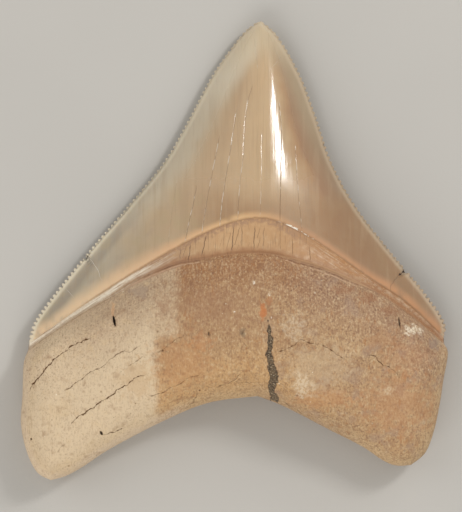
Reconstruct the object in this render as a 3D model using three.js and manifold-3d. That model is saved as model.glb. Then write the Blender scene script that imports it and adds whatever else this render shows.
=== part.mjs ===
// A fossil shark tooth, lying on its flat outer face with its rounded inner face up.
// Millimetres. +X across the tooth, +Y from the root to the tip, +Z up from the surface it lies on.
// The origin is under the middle of its footprint.
//
// The skin is laid out in rows and columns. A row crosses the tooth from one side to the other and is
// known by its level, 0 at the tip and 1 along the foot of the root. A column is known by its reach,
// 0 on the midline and 1 at the rim.
import * as THREE from "three";
import { mergeVertices } from "three/addons/utils/BufferGeometryUtils.js";
import Module from "manifold-3d";

const { clamp, lerp, smoothstep } = THREE.MathUtils;

// Levels of the two curved lines that cross the inner face.
const TIP = 0;
const ENAMEL = 0.6; // where the enamel of the crown ends
const ROOT = 0.66; // where the root begins, under the band of bare dentine
const FOOT = 1;

// The midline, seen from above: [level, x, y].
const MIDLINE = [
  [TIP, 3.65, 31.6],
  [ENAMEL, 3.3, 4.35],
  [ROOT, 2.2, -0.45],
  [FOOT, 3.2, -20.1],
];

// Each half's outline, seen from above: the cutting edge from the tip to the shoulder, the side of the
// root down to the end of its lobe, and the foot from the midline out to the same point.
const HALVES = {
  left: {
    edge: [[3.65, 31.6], [2.45, 31], [0.45, 29], [-3.1, 24], [-6.3, 18], [-9.8, 12], [-14.7, 6],
      [-19.9, 0], [-24.75, -6], [-27.6, -10], [-28.3, -12.4]],
    side: [[-28.3, -13.3], [-29.05, -15.5], [-29.2, -20], [-29.4, -24], [-28.6, -27.8],
      [-27.2, -30.6], [-25.3, -31.7]],
    foot: [[3.2, -20.1], [-3.5, -21], [-9.5, -23.4], [-17, -27.3], [-20.8, -29.8],
      [-23.2, -31.1], [-25.3, -31.7]],
    serrationPitch: 0.66,
    arch: [[TIP, 1.6], [ENAMEL, 1.35], [ROOT, 1.65]],
  },
  right: {
    edge: [[3.65, 31.6], [4.45, 31], [6.3, 29], [9.1, 24], [11.35, 18], [13.4, 12],
      [16.7, 6], [21.3, 0], [26.3, -6], [28.9, -10], [28.85, -12.2]],
    side: [[28.85, -12.9], [29.4, -14.3], [28.8, -17.8], [28.3, -21], [27.5, -24.8],
      [26.3, -27.9], [24.3, -29.6]],
    foot: [[3.2, -20.1], [7, -21.6], [13, -24.7], [17.5, -27], [20.5, -29], [22.4, -29.7],
      [24.3, -29.6]],
    serrationPitch: 0.73,
    arch: [[TIP, 1.6], [ENAMEL, 1.4], [ROOT, 1.95]],
  },
};
const ARCH_SOFTNESS = 0.16; // share of the half width over which a row turns at the midline

// Heights above the surface the tooth lies on: [level, height].
const TOP_MIDLINE = [[TIP, 2], [0.02, 3], [0.056, 3.9], [0.144, 5.2], [0.255, 6.6], [0.387, 8.1],
  [0.519, 9.4], [ENAMEL, 10.1], [ROOT, 10.7], [0.721, 12.2], [0.79, 13.1], [0.86, 12.9],
  [0.93, 11.8], [FOOT, 10.4]];
const UNDERSIDE_MIDLINE = [[TIP, 2], [0.03, 1], [0.08, 0.4], [0.16, -0.05], [0.25, -0.1],
  [0.35, 0.1], [0.5, 0.7], [ENAMEL, 1.1], [ROOT, 1.2], [0.75, 1], [0.85, 0.6], [FOOT, 0.3]];
const RIM = [[TIP, 2], [0.1, 1.9], [0.3, 2.2], [0.5, 2.8], [ENAMEL, 3.2], [ROOT, 3.6], [0.8, 3.9],
  [FOOT, 3.8]];
const RIM_RISE_IN_THE_NOTCH = 0.8; // the foot's rim is this much higher at the midline
const LOBE_HEIGHT = 8.3;
const LOBE_UNDERSIDE = -0.15; // below 0, so each lobe is flattened where it rests
const FLANK_CURVE = [[TIP, 0.85], [0.3, 1.05], [ENAMEL, 1.15]];
const ROUNDING_TOP = 4.6; // how far in from the rim the root's edge is rounded, above and below
const ROUNDING_UNDERSIDE = 3.6;

// Relief that crosses the inner face.
const WELT_HEIGHT = 0.16; // the enamel swells before its end
const WELT_WIDTH = 0.9;
const ENAMEL_STEP = 0.3; // and then stands this much above the dentine
const GROOVE_DEPTH = 0.28; // along the top of the root
const GROOVE_WIDTH = 0.55;
const ROOT_LUMPS = 0.14; // height of the root's slow unevenness

const SERRATION_DEPTH = 0.26;
const CREST_INSET = 0.7; // share of that depth by which the crests stand back
const SERRATION_END = 1.6; // the last stretch of each edge is smooth
const RING_WIDTH = 0.5; // of the ring of faces that holds the serrations

// Openings and damage: x and y are their middle, turned from the Y axis by a number of degrees.
const FORAMINA = [
  { x: -16.4, y: -9.7, length: 1.6, width: 0.42, depth: 0.7, turn: 13 },
  { x: 22.5, y: -9.9, length: 2.2, width: 0.4, depth: 0.45, turn: 6 },
  { x: 1, y: -11.3, length: 0.8, width: 0.5, depth: 0.3, turn: -10 },
  { x: -3.5, y: -11.4, length: 0.9, width: 0.35, depth: 0.3, turn: 0 },
];
const NICKS = [
  { half: "left", level: 0.445, width: 0.34, depth: 0.9 },
  { half: "right", level: 0.47, width: 0.62, depth: 0.6 },
];
// The split that runs up from the notch of the root, filled to just under the surface: [x, y, half width].
const SPLIT = [[4.5, -10.2, 0.05], [4.8, -11.4, 0.22], [4.72, -12.7, 0.44], [4.68, -13.9, 0.47],
  [4.95, -15.3, 0.56], [5.25, -16.8, 0.68], [5.3, -17.9, 0.64], [5.2, -18.9, 0.52], [5.3, -19.8, 0.5],
  [5.4, -20.5, 0.48], [5.45, -21.6, 0.5]];
const SPLIT_DEPTH = 0.38;

// Where the rows and columns of faces lie.
const TOP_LEVELS = [0.012, 0.03, 0.055, 0.085, 0.12, 0.155, 0.19, 0.225, 0.26, 0.295, 0.33, 0.365,
  0.4, 0.435, 0.468, 0.5, 0.528, 0.552, 0.57, 0.583, 0.592, 0.598, 0.602, 0.61, 0.625, 0.638, 0.65,
  0.658, 0.665, 0.675, 0.69, 0.71, 0.735, 0.765, 0.795, 0.825, 0.855, 0.885, 0.91, 0.93, 0.95,
  0.968, 0.982, 0.993];
const UNDERSIDE_LEVELS = [0.012, 0.03, 0.06, 0.1, 0.15, 0.2, 0.26, 0.32, 0.38, 0.44, 0.5, 0.55,
  ENAMEL, 0.63, ROOT, 0.7, 0.74, 0.79, 0.84, 0.89, 0.93, 0.96, 0.98, 0.993];
const REACHES = [0, 0.06, 0.13, 0.21, 0.3, 0.39, 0.48, 0.57, 0.66, 0.75, 0.83, 0.9, 0.95, 0.98];
const SIDE_POINTS = 40; // down each side of the root

// A smooth value through [level, value] stations.
function through(stations, level) {
  const last = stations.length - 1;
  const slope = (i) => {
    const [a, b] = [stations[Math.max(0, i - 1)], stations[Math.min(last, i + 1)]];
    return (b[1] - a[1]) / (b[0] - a[0]);
  };
  let i = 0;
  while (i < last - 1 && level > stations[i + 1][0]) i++;
  const [x0, y0] = stations[i];
  const [x1, y1] = stations[i + 1];
  const span = x1 - x0;
  const k = clamp((level - x0) / span, 0, 1);
  const k2 = k * k;
  const k3 = k2 * k;
  return (
    y0 * (2 * k3 - 3 * k2 + 1) +
    y1 * (3 * k2 - 2 * k3) +
    slope(i) * span * (k3 - 2 * k2 + k) +
    slope(i + 1) * span * (k3 - k2)
  );
}

const splineOf = (points) => new THREE.SplineCurve(points.map(([x, y]) => new THREE.Vector2(x, y)));

for (const half of Object.values(HALVES)) {
  for (const name of ["edge", "side", "foot"]) {
    half[`${name}Curve`] = splineOf(half[name]);
    half[`${name}Curve`].arcLengthDivisions = 800;
  }
  half.sign = half === HALVES.left ? -1 : 1;
  half.edgeLength = half.edgeCurve.getLength();
}

function midline(level) {
  const i = level <= ENAMEL ? 0 : level <= ROOT ? 1 : 2;
  const [from, x0, y0] = MIDLINE[i];
  const [to, x1, y1] = MIDLINE[i + 1];
  const k = (level - from) / (to - from);
  return new THREE.Vector2(lerp(x0, x1, k), lerp(y0, y1, k));
}

// The outline of a half at a level, without serrations.
function outline(half, level) {
  if (level <= ENAMEL) return half.edgeCurve.getPointAt(clamp(level / ENAMEL, 0, 1));
  if (level >= ROOT) return half.sideCurve.getPointAt(clamp((level - ROOT) / (FOOT - ROOT), 0, 1));
  const shoulder = half.edgeCurve.getPoint(1);
  return shoulder.lerp(half.sideCurve.getPoint(0), (level - ENAMEL) / (ROOT - ENAMEL));
}

// reach to a power, rounded off near the midline.
function softPower(reach, power) {
  const soft = ARCH_SOFTNESS ** 2;
  const at = (r) => (r * r + soft) ** (power / 2) - soft ** (power / 2);
  return at(reach) / at(1);
}

function archedRow(half, reach, level) {
  const mid = midline(level);
  const end = outline(half, level);
  const bend = softPower(reach, through(half.arch, level));
  return new THREE.Vector2(lerp(mid.x, end.x, reach), lerp(mid.y, end.y, bend));
}

// A point of the tooth seen from above. In the root the rows go over from the arched line at its top to
// the line of its foot.
function plan(half, reach, level) {
  if (level <= ROOT) return archedRow(half, reach, level);
  const k = (level - ROOT) / (FOOT - ROOT);
  const row = (r) => archedRow(half, r, ROOT).lerp(half.footCurve.getPointAt(r), k);
  const bulge = outline(half, level).sub(row(1));
  return row(reach).addScaledVector(bulge, reach * reach);
}

// The distance from a point to a line of points, seen from above.
function distanceTo(line, point) {
  let best = Infinity;
  const along = new THREE.Vector2();
  const from = new THREE.Vector2();
  for (let i = 1; i < line.length; i++) {
    along.subVectors(line[i], line[i - 1]);
    from.subVectors(point, line[i - 1]);
    const k = clamp(from.dot(along) / along.lengthSq(), 0, 1);
    best = Math.min(best, from.addScaledVector(along, -k).length());
  }
  return best;
}

const steps = (count) => Array.from({ length: count + 1 }, (_, i) => i / count);
const SIDE_LEVELS = steps(SIDE_POINTS).map((k) => lerp(ENAMEL, FOOT, k));
const serrationCount = (half) => Math.round(half.edgeLength / half.serrationPitch);
const wholeLine = (pointOf) => [
  ...steps(60).reverse().map((r) => pointOf(HALVES.left, r)),
  ...steps(60).slice(1).map((r) => pointOf(HALVES.right, r)),
];
const ENAMEL_LINE = wholeLine((half, r) => archedRow(half, r, ENAMEL));
const ROOT_LINE = wholeLine((half, r) => archedRow(half, r, ROOT));
const OUTLINE = [
  ...steps(160).map((k) => outline(HALVES.left, k)),
  ...steps(60).reverse().slice(1).map((k) => HALVES.left.footCurve.getPointAt(k)),
  ...steps(60).slice(1).map((k) => HALVES.right.footCurve.getPointAt(k)),
  ...steps(160).reverse().slice(1).map((k) => outline(HALVES.right, k)),
];

// The slow unevenness of the root: a few crossing waves.
const lumps = (x, y) =>
  Math.sin(x * 0.62 + 1.3) * Math.cos(y * 0.55 - 0.4) +
  0.7 * Math.sin(x * 1.15 - y * 0.8 + 2.1) +
  0.5 * Math.cos(x * 0.9 + y * 1.6);

// How far in from the rim the surface has risen, 0 to 1, along a quarter of a circle.
function rounded(distance, radius) {
  const k = 1 - clamp(distance / radius, 0, 1);
  return Math.sqrt(1 - k * k);
}

// How far the rim moves straight outwards for a whole unit of reach.
function rimSpeed(half, level) {
  const nudge = 1e-3;
  const ahead = clamp(level + nudge, TIP, FOOT);
  const along = outline(half, ahead).sub(outline(half, ahead - 2 * nudge)).normalize();
  const out = plan(half, 1, level).sub(plan(half, 1 - nudge, level)).divideScalar(nudge);
  return Math.abs(out.cross(along));
}

// The width of the ring of faces inside the rim, and the reach where the columns start inside it.
const ringWidth = (half, level) => Math.min(RING_WIDTH, 0.3 * rimSpeed(half, level));
const columnStart = (half, level) => 1 - Math.min(0.4, (1.3 * RING_WIDTH) / rimSpeed(half, level));

const COLUMNS = [
  ...REACHES.slice(1).reverse().map((reach) => ({ half: HALVES.left, reach })),
  ...REACHES.map((reach) => ({ half: HALVES.right, reach })),
];

function relief(point, reach, level) {
  const fade = 1 - reach ** 8;
  const toEnamel = distanceTo(ENAMEL_LINE, point) * (level < ENAMEL ? 1 : -1);
  const toRoot = distanceTo(ROOT_LINE, point);
  const welt = WELT_HEIGHT * Math.exp(-(((toEnamel - 0.35) / WELT_WIDTH) ** 2));
  const step = ENAMEL_STEP * (smoothstep(toEnamel, -0.2, 0.2) - 1) * smoothstep(-level, -0.75, -ROOT);
  const groove = -GROOVE_DEPTH * Math.exp(-((toRoot / GROOVE_WIDTH) ** 2));
  const uneven = ROOT_LUMPS * lumps(point.x, point.y) * smoothstep(level, ROOT, 0.72);
  return fade * (welt + step + groove + uneven);
}

const rimHeight = (reach, level) =>
  through(RIM, level) + RIM_RISE_IN_THE_NOTCH * (1 - reach * reach) * smoothstep(level, 0.9, FOOT);

// How far the skin has gone over from the crown's thin blade to the thick root. This takes a short way at
// the rim and a long one on the midline.
const rootShare = (reach, level) =>
  smoothstep(level, lerp(ENAMEL, 0.635, reach), lerp(0.77, 0.7, reach));

function topHeight(half, reach, level) {
  const point = plan(half, reach, level);
  const rim = rimHeight(reach, level);
  const mid = through(TOP_MIDLINE, level);
  const blade = rim + (mid - rim) * (1 - reach * reach) ** through(FLANK_CURVE, Math.min(level, ENAMEL));
  const lobe = LOBE_HEIGHT + (mid - LOBE_HEIGHT) * (1 - reach * reach) ** 1.5;
  const body = rim + (lobe - rim) * rounded(distanceTo(OUTLINE, point), ROUNDING_TOP);
  return lerp(blade, body, rootShare(reach, level)) + relief(point, reach, level);
}

function undersideHeight(half, reach, level) {
  const point = plan(half, reach, level);
  const rim = rimHeight(reach, level);
  const mid = through(UNDERSIDE_MIDLINE, level);
  const blade = rim - (rim - mid) * (1 - reach ** 2.5);
  const lobe = lerp(mid, LOBE_UNDERSIDE, smoothstep(reach, 0.1, 0.5));
  const body = rim - (rim - lobe) * rounded(distanceTo(OUTLINE, point), ROUNDING_UNDERSIDE);
  return Math.max(0, lerp(blade, body, rootShare(reach, level)));
}

// Collects vertices and faces. A strip joins two lines of points that run the same way, each point
// holding its index and level, with the first line on the left as seen from outside.
class Skin {
  vertices = [];
  faces = [];

  add(point, height) {
    this.vertices.push(point.x, point.y, height);
    return this.vertices.length / 3 - 1;
  }

  face(a, b, c, flip) {
    if (a === b || b === c || c === a) return;
    this.faces.push(...(flip ? [a, c, b] : [a, b, c]));
  }

  strip(first, second, flip) {
    let [i, j] = [0, 0];
    while (i < first.length - 1 || j < second.length - 1) {
      const nextFirst = i < first.length - 1 ? first[i + 1].level : Infinity;
      const nextSecond = j < second.length - 1 ? second[j + 1].level : Infinity;
      if (nextFirst <= nextSecond) this.face(first[i].index, first[++i].index, second[j].index, flip);
      else this.face(first[i].index, second[j + 1].index, second[j++].index, flip);
    }
  }

  geometry() {
    const made = new THREE.BufferGeometry();
    made.setAttribute("position", new THREE.BufferAttribute(new Float32Array(this.vertices), 3));
    return made.setIndex(this.faces);
  }
}

// The outward direction of a half's cutting edge.
function outward(half, along) {
  const tangent = half.edgeCurve.getTangentAt(along);
  return new THREE.Vector2(-tangent.y, tangent.x).multiplyScalar(half.sign);
}

// The rim of a half and the ring just inside it, from the tip to the end of the lobe. A serration is a
// notch and a flat crest on the rim, with one point of the ring behind its notch.
function rimLine(skin, half, tip) {
  const line = [{ level: TIP, index: tip }];
  const count = serrationCount(half);
  for (let i = 1; i < count; i++) {
    for (const [phase, crest] of [[0, 0], [0.27, 1], [0.73, 1]]) {
      const along = (i + phase) / count;
      const fromEnd = (1 - along) * half.edgeLength;
      const depth = SERRATION_DEPTH * smoothstep(fromEnd, 0, SERRATION_END) * smoothstep(along, 0, 0.03);
      const point = half.edgeCurve.getPointAt(along);
      point.addScaledVector(outward(half, along), depth * (crest - CREST_INSET));
      const level = along * ENAMEL;
      line.push({ level, index: skin.add(point, through(RIM, level)) });
    }
  }
  for (const level of SIDE_LEVELS)
    line.push({ level, index: skin.add(outline(half, level), through(RIM, level)) });
  return line;
}

// The reach and level at which a row passes through a point seen from above.
function locate(half, target, guess) {
  const nudge = 1e-4;
  let { reach, level } = guess;
  for (let i = 0; i < 6; i++) {
    const here = plan(half, reach, level);
    const byReach = plan(half, reach - nudge, level).sub(here).divideScalar(-nudge);
    const byLevel = plan(half, reach, level - nudge).sub(here).divideScalar(-nudge);
    const miss = here.negate().add(target);
    const area = byReach.cross(byLevel);
    reach = clamp(reach + miss.cross(byLevel) / area, 0.2, 1);
    level = clamp(level + byReach.cross(miss) / area, 0.002, ENAMEL);
  }
  return { reach, level };
}

function ringLine(skin, half, tip, lobeEnd, height) {
  const line = [{ level: TIP, index: tip }];
  const add = (reach, level, rimLevel) => {
    line.push({ level: rimLevel, index: skin.add(plan(half, reach, level), height(half, reach, level)) });
  };
  for (const along of steps(serrationCount(half)).slice(1, -1)) {
    const rimLevel = along * ENAMEL;
    const inwards = -ringWidth(half, rimLevel);
    const target = half.edgeCurve.getPointAt(along).addScaledVector(outward(half, along), inwards);
    const { reach, level } = locate(half, target, { reach: 0.95, level: rimLevel * 0.97 });
    add(reach, level, rimLevel);
  }
  for (const level of SIDE_LEVELS.slice(0, -1))
    add(1 - ringWidth(half, level) / rimSpeed(half, level), level, level);
  return [...line, { level: FOOT, index: lobeEnd }];
}

function toothSkin() {
  const skin = new Skin();
  const tip = skin.add(midline(TIP), through(RIM, TIP));
  const leftRim = rimLine(skin, HALVES.left, tip);
  const rightRim = rimLine(skin, HALVES.right, tip);
  const footPoint = (half, reach) => skin.add(plan(half, reach, FOOT), rimHeight(reach, FOOT));
  const footRow = COLUMNS.map(({ half, reach }) => footPoint(half, reach * columnStart(half, FOOT)));
  const lobeEnd = (half) => footPoint(half, 1 - ringWidth(half, FOOT) / rimSpeed(half, FOOT));
  const leftEnd = lobeEnd(HALVES.left);
  const rightEnd = lobeEnd(HALVES.right);
  const faces = [
    { levels: TOP_LEVELS, height: topHeight, flip: false },
    { levels: UNDERSIDE_LEVELS, height: undersideHeight, flip: true },
  ];
  for (const { levels, height, flip } of faces) {
    const rows = levels.map((level) =>
      COLUMNS.map(({ half, reach }) => {
        const r = reach * columnStart(half, level);
        return skin.add(plan(half, r, level), height(half, r, level));
      }),
    );
    rows.push(footRow);
    for (let i = 0; i < COLUMNS.length - 1; i++) {
      skin.face(tip, rows[0][i], rows[0][i + 1], flip);
      for (let j = 0; j < rows.length - 1; j++) {
        skin.face(rows[j][i], rows[j + 1][i], rows[j + 1][i + 1], flip);
        skin.face(rows[j][i], rows[j + 1][i + 1], rows[j][i + 1], flip);
      }
    }
    const rowLevels = [...levels, FOOT];
    const outerColumn = (i) => [
      { level: TIP, index: tip },
      ...rows.map((row, j) => ({ level: rowLevels[j], index: row[i] })),
    ];
    const leftRing = ringLine(skin, HALVES.left, tip, leftEnd, height);
    const rightRing = ringLine(skin, HALVES.right, tip, rightEnd, height);
    skin.strip(leftRing, outerColumn(0), flip);
    skin.strip(leftRim, leftRing, flip);
    skin.strip(rightRing, outerColumn(COLUMNS.length - 1), !flip);
    skin.strip(rightRim, rightRing, !flip);
  }
  return skin.geometry();
}

const wasm = await Module();
wasm.setup();

function solidOf(geometry) {
  const bare = geometry.index ? geometry.clone() : mergeVertices(geometry);
  bare.deleteAttribute("normal");
  bare.deleteAttribute("uv");
  const merged = mergeVertices(bare, 1e-4);
  return new wasm.Manifold(
    new wasm.Mesh({
      numProp: 3,
      vertProperties: new Float32Array(merged.attributes.position.array),
      triVerts: new Uint32Array(merged.index.array),
    }),
  );
}

function geometryOf(solid) {
  const { vertProperties, triVerts, numProp } = solid.getMesh();
  const made = new THREE.BufferGeometry();
  const points = new Float32Array((vertProperties.length / numProp) * 3);
  for (let i = 0; i < points.length / 3; i++)
    points.set(vertProperties.subarray(i * numProp, i * numProp + 3), i * 3);
  made.setAttribute("position", new THREE.BufferAttribute(points, 3));
  made.setIndex(new THREE.BufferAttribute(new Uint32Array(triVerts), 1));
  made.computeVertexNormals();
  return made;
}

// The height of the upper face straight above a point, found on the finished skin.
function heightAbove(mesh, x, y) {
  const ray = new THREE.Raycaster(new THREE.Vector3(x, y, 50), new THREE.Vector3(0, 0, -1));
  const [hit] = ray.intersectObject(mesh);
  return hit ? hit.point.z : through(RIM, FOOT);
}

// A slit or pit in the upper face: a sphere drawn out to its length and width, half sunk.
function foramenCutter(mesh, { x, y, length, width, depth, turn }) {
  const cutter = new THREE.SphereGeometry(1, 10, 6);
  cutter.scale(width / 2, length / 2, depth);
  cutter.rotateZ(THREE.MathUtils.degToRad(turn));
  return cutter.translate(x, y, heightAbove(mesh, x, y));
}

// The split: a bar that follows the upper face at a set depth.
function splitCutter(mesh) {
  const spans = SPLIT.length - 1;
  const bar = new THREE.BoxGeometry(2, spans, 2, 1, spans, 1).toNonIndexed();
  const { position } = bar.attributes;
  for (let i = 0; i < position.count; i++) {
    const station = Math.round(spans / 2 - position.getY(i));
    const [x, y, halfWidth] = SPLIT[station];
    const surface = heightAbove(mesh, x, y);
    const above = position.getZ(i) > 0;
    position.setXYZ(i, x + halfWidth * position.getX(i), y, surface + (above ? 2 : -SPLIT_DEPTH));
  }
  bar.deleteAttribute("normal");
  bar.deleteAttribute("uv");
  return mergeVertices(bar, 1e-4);
}

// A chipped place in a cutting edge: a wedge that points inwards, right through the blade.
function nickCutter({ half, level, width, depth }) {
  const side = HALVES[half];
  const along = level / ENAMEL;
  const out = outward(side, along);
  const across = new THREE.Vector2(-out.y, out.x).multiplyScalar(width / 2);
  const rim = side.edgeCurve.getPointAt(along);
  const inner = rim.clone().addScaledVector(out, -depth);
  const outer = rim.clone().addScaledVector(out, 0.5);
  const shape = new THREE.Shape([inner, outer.clone().add(across), outer.clone().sub(across)]);
  return new THREE.ExtrudeGeometry(shape, { depth: 8, bevelEnabled: false });
}

function toothGeometry() {
  const blank = toothSkin();
  const mesh = new THREE.Mesh(blank, new THREE.MeshStandardMaterial({ side: THREE.DoubleSide }));
  const cutters = [
    ...FORAMINA.map((foramen) => foramenCutter(mesh, foramen)),
    ...NICKS.map(nickCutter),
    splitCutter(mesh),
  ];
  const cut = cutters.reduce((solid, cutter) => solid.subtract(solidOf(cutter)), solidOf(blank));
  const made = geometryOf(cut);
  made.computeBoundingBox();
  const middle = made.boundingBox.getCenter(new THREE.Vector3());
  return made.translate(-middle.x, -middle.y, 0);
}

const fossil = new THREE.MeshStandardMaterial({
  name: "fossil tooth",
  color: 0xbd9f7c,
  roughness: 0.55,
  metalness: 0,
});

const tooth = new THREE.Mesh(toothGeometry(), fossil);
tooth.name = "tooth";

const model = new THREE.Group();
model.add(tooth);

export default model;
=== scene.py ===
"""A fossil megalodon tooth lying on a pale table, with its rounded inner face up.

The tooth is one piece. Its skin is laid out flat first, as a sheet of rows and columns for the inner face
and one for the outer face, and each sheet is then drawn onto the tooth. A row crosses the tooth and is
known by its level, 0 at the tip and 1 along the foot of the root. A column is known by its reach, -1 at the
left rim, 0 on the midline and 1 at the right rim. Sizes are in millimetres until the mesh is placed.
"""

from __future__ import annotations

import logging
import math
from dataclasses import dataclass, field
from enum import Enum
from functools import cached_property

import bpy
import numpy as np
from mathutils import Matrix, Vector


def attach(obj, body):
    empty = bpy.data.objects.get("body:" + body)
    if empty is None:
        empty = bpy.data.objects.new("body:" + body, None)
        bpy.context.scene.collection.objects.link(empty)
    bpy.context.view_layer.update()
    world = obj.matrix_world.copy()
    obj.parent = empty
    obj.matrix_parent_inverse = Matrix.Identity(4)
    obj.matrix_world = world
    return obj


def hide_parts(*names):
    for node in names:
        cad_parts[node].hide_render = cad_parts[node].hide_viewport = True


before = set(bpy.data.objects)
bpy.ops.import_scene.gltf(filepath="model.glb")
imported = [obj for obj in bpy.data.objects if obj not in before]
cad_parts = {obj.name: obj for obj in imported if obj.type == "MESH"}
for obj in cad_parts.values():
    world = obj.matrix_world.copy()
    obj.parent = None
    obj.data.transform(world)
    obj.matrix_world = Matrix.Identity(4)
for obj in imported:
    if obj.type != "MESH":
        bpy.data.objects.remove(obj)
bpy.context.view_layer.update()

LOG = logging.getLogger("tooth")
MM = 0.001

Stations = tuple[tuple[float, float], ...]
Points = tuple[tuple[float, float], ...]
Stops = tuple[tuple[float, str], ...]  # values and their colours
Size = tuple[float, float, float]

TIP = 0.0
ENAMEL = 0.6  # level where the enamel ends
ROOT = 0.66  # level where the root begins, under the bare band
FOOT = 1.0
OUTER_MARGIN = 0.63  # the outer face has no bare band: enamel meets root here


class Face(Enum):
    """The two faces of the tooth."""

    INNER = "inner"
    OUTER = "outer"


class Zone(Enum):
    """The tissues of the tooth, in the order of its material slots."""

    CROWN = 0
    BAND = 1
    ROOT = 2


class Seed(Enum):
    """The random patterns, by what each one shapes."""

    COARSE_GRAIN = 1
    FINE_GRAIN = 2
    SWELL = 3
    SPLIT_EDGE = 5
    SPLIT_FRAY = 6
    SERRATIONS = 11


# Shaping helpers


def smooth(value: np.ndarray, low: float | np.ndarray, high: float | np.ndarray) -> np.ndarray:
    """Return 0 below low, 1 above high and a soft step between."""
    k = np.clip((value - low) / (high - low), 0.0, 1.0)
    return k * k * (3.0 - 2.0 * k)


def hump(value: np.ndarray, centre: float, width: float) -> np.ndarray:
    """Return a soft hump, 1 at its centre."""
    return np.exp(-(((value - centre) / width) ** 2))


def mix(a: np.ndarray | float, b: np.ndarray | float, share: np.ndarray) -> np.ndarray:
    """Return a where share is 0 and b where it is 1."""
    return a + (b - a) * share


def through(stations: Stations, level: np.ndarray) -> np.ndarray:
    """Return smooth values through [level, value] stations.

    Args:
        stations: The levels and the values there, in rising order of level.
        level: Where the values are wanted.

    Returns:
        One value for each level.
    """
    xs, ys = np.array(stations).T
    slopes = np.empty_like(ys)
    slopes[1:-1] = (ys[2:] - ys[:-2]) / (xs[2:] - xs[:-2])
    slopes[0] = (ys[1] - ys[0]) / (xs[1] - xs[0])
    slopes[-1] = (ys[-1] - ys[-2]) / (xs[-1] - xs[-2])
    i = np.clip(np.searchsorted(xs, level) - 1, 0, len(xs) - 2)
    span = xs[i + 1] - xs[i]
    k = np.clip((level - xs[i]) / span, 0.0, 1.0)
    rise = 3.0 * k**2 - 2.0 * k**3
    bends = slopes[i] * span * (k**3 - 2.0 * k**2 + k) + slopes[i + 1] * span * (k**3 - k**2)
    return mix(ys[i], ys[i + 1], rise) + bends


def unevenness(place: np.ndarray, grain: float, seed: Seed) -> np.ndarray:
    """Return smooth seeded noise.

    Args:
        place: Points seen from above.
        grain: The size of its lumps, in millimetres.
        seed: Names the pattern.

    Returns:
        One value for each point, about -1 to 1.
    """
    lattice = np.random.default_rng(seed.value).uniform(-1.0, 1.0, (256, 256))
    cell = np.floor(place / grain).astype(int)
    k = place / grain - cell
    k = k * k * (3.0 - 2.0 * k)
    x, y = cell.T % 256
    x1, y1 = (x + 1) % 256, (y + 1) % 256
    low = mix(lattice[x, y], lattice[x1, y], k[:, 0])
    high = mix(lattice[x, y1], lattice[x1, y1], k[:, 0])
    return mix(low, high, k[:, 1])


@dataclass(frozen=True)
class Line:
    """A line of points seen from above."""

    points: np.ndarray

    def nearest(self, place: np.ndarray) -> tuple[np.ndarray, np.ndarray]:
        """Measure from each place to the line.

        Args:
            place: Points seen from above.

        Returns:
            How far along the line its nearest point is, and the distance, positive on its left.
        """
        ahead = np.diff(self.points, axis=0)
        length = np.hypot(*ahead.T)
        begun = np.concatenate([[0.0], np.cumsum(length)[:-1]])
        along, away = np.empty(len(place)), np.empty(len(place))
        for chunk in np.array_split(np.arange(len(place)), len(place) // 8000 + 1):
            across = place[chunk, None, :] - self.points[None, :-1, :]
            k = np.clip((across * ahead).sum(2) / length**2, 0.0, 1.0)
            gap = across - k[..., None] * ahead
            distance = np.hypot(gap[..., 0], gap[..., 1])
            best = distance.argmin(1)
            row = np.arange(len(chunk))
            turn = ahead[best, 0] * across[row, best, 1] - ahead[best, 1] * across[row, best, 0]
            along[chunk] = begun[best] + k[row, best] * length[best]
            away[chunk] = distance[row, best] * np.where(turn < 0.0, -1.0, 1.0)
        return along, away


@dataclass(frozen=True)
class Curve:
    """A smooth curve through given points, seen from above."""

    knots: Points

    @cached_property
    def samples(self) -> tuple[np.ndarray, np.ndarray]:
        """Follow the curve.

        Returns:
            Many points along it, and the share of its length at each.
        """
        p = np.array(self.knots)
        p = np.vstack([p[0], p, p[-1]])
        t = np.linspace(0.0, len(self.knots) - 1.0, 1201)
        i = np.minimum(t.astype(int), len(self.knots) - 2)
        k = (t - i)[:, None]
        before, start, end, after = p[i], p[i + 1], p[i + 2], p[i + 3]
        v0, v1 = (end - before) / 2.0, (after - start) / 2.0
        points = (
            (2.0 * start - 2.0 * end + v0 + v1) * k**3
            + (3.0 * end - 3.0 * start - 2.0 * v0 - v1) * k**2
            + v0 * k
            + start
        )
        length = np.concatenate([[0.0], np.cumsum(np.hypot(*np.diff(points, axis=0).T))])
        return points, length / length[-1]

    @cached_property
    def length(self) -> float:
        """The curve's length."""
        return float(np.hypot(*np.diff(self.samples[0], axis=0).T).sum())

    def at(self, share: np.ndarray) -> np.ndarray:
        """Return the points at shares of the curve's length."""
        points, shares = self.samples
        return np.column_stack([np.interp(share, shares, points[:, 0]), np.interp(share, shares, points[:, 1])])


# The form of the tooth


@dataclass(frozen=True)
class Half:
    """The outline of one half of the tooth, seen from above."""

    edge: Curve  # the cutting edge, from the tip to the shoulder
    side: Curve  # the root's side, down to the end of its lobe
    foot: Curve  # the root's foot, from the midline out to the same point
    serration_pitch: float
    arch: Stations  # how sharply the rows droop
    nick: tuple[float, float, float]  # a chip in the edge: share of its length, width, depth
    margin_lift: float = 0.0  # how much higher the enamel ends on the arm than the arch says

    def outline(self, level: np.ndarray) -> np.ndarray:
        """Follow the outline, without serrations.

        Args:
            level: Levels along it.

        Returns:
            Its points.
        """
        edge = self.edge.at(np.clip(level / ENAMEL, 0.0, 1.0))
        side = self.side.at(np.clip((level - ROOT) / (FOOT - ROOT), 0.0, 1.0))
        return mix(edge, side, np.clip((level - ENAMEL) / (ROOT - ENAMEL), 0.0, 1.0)[:, None])


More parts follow.
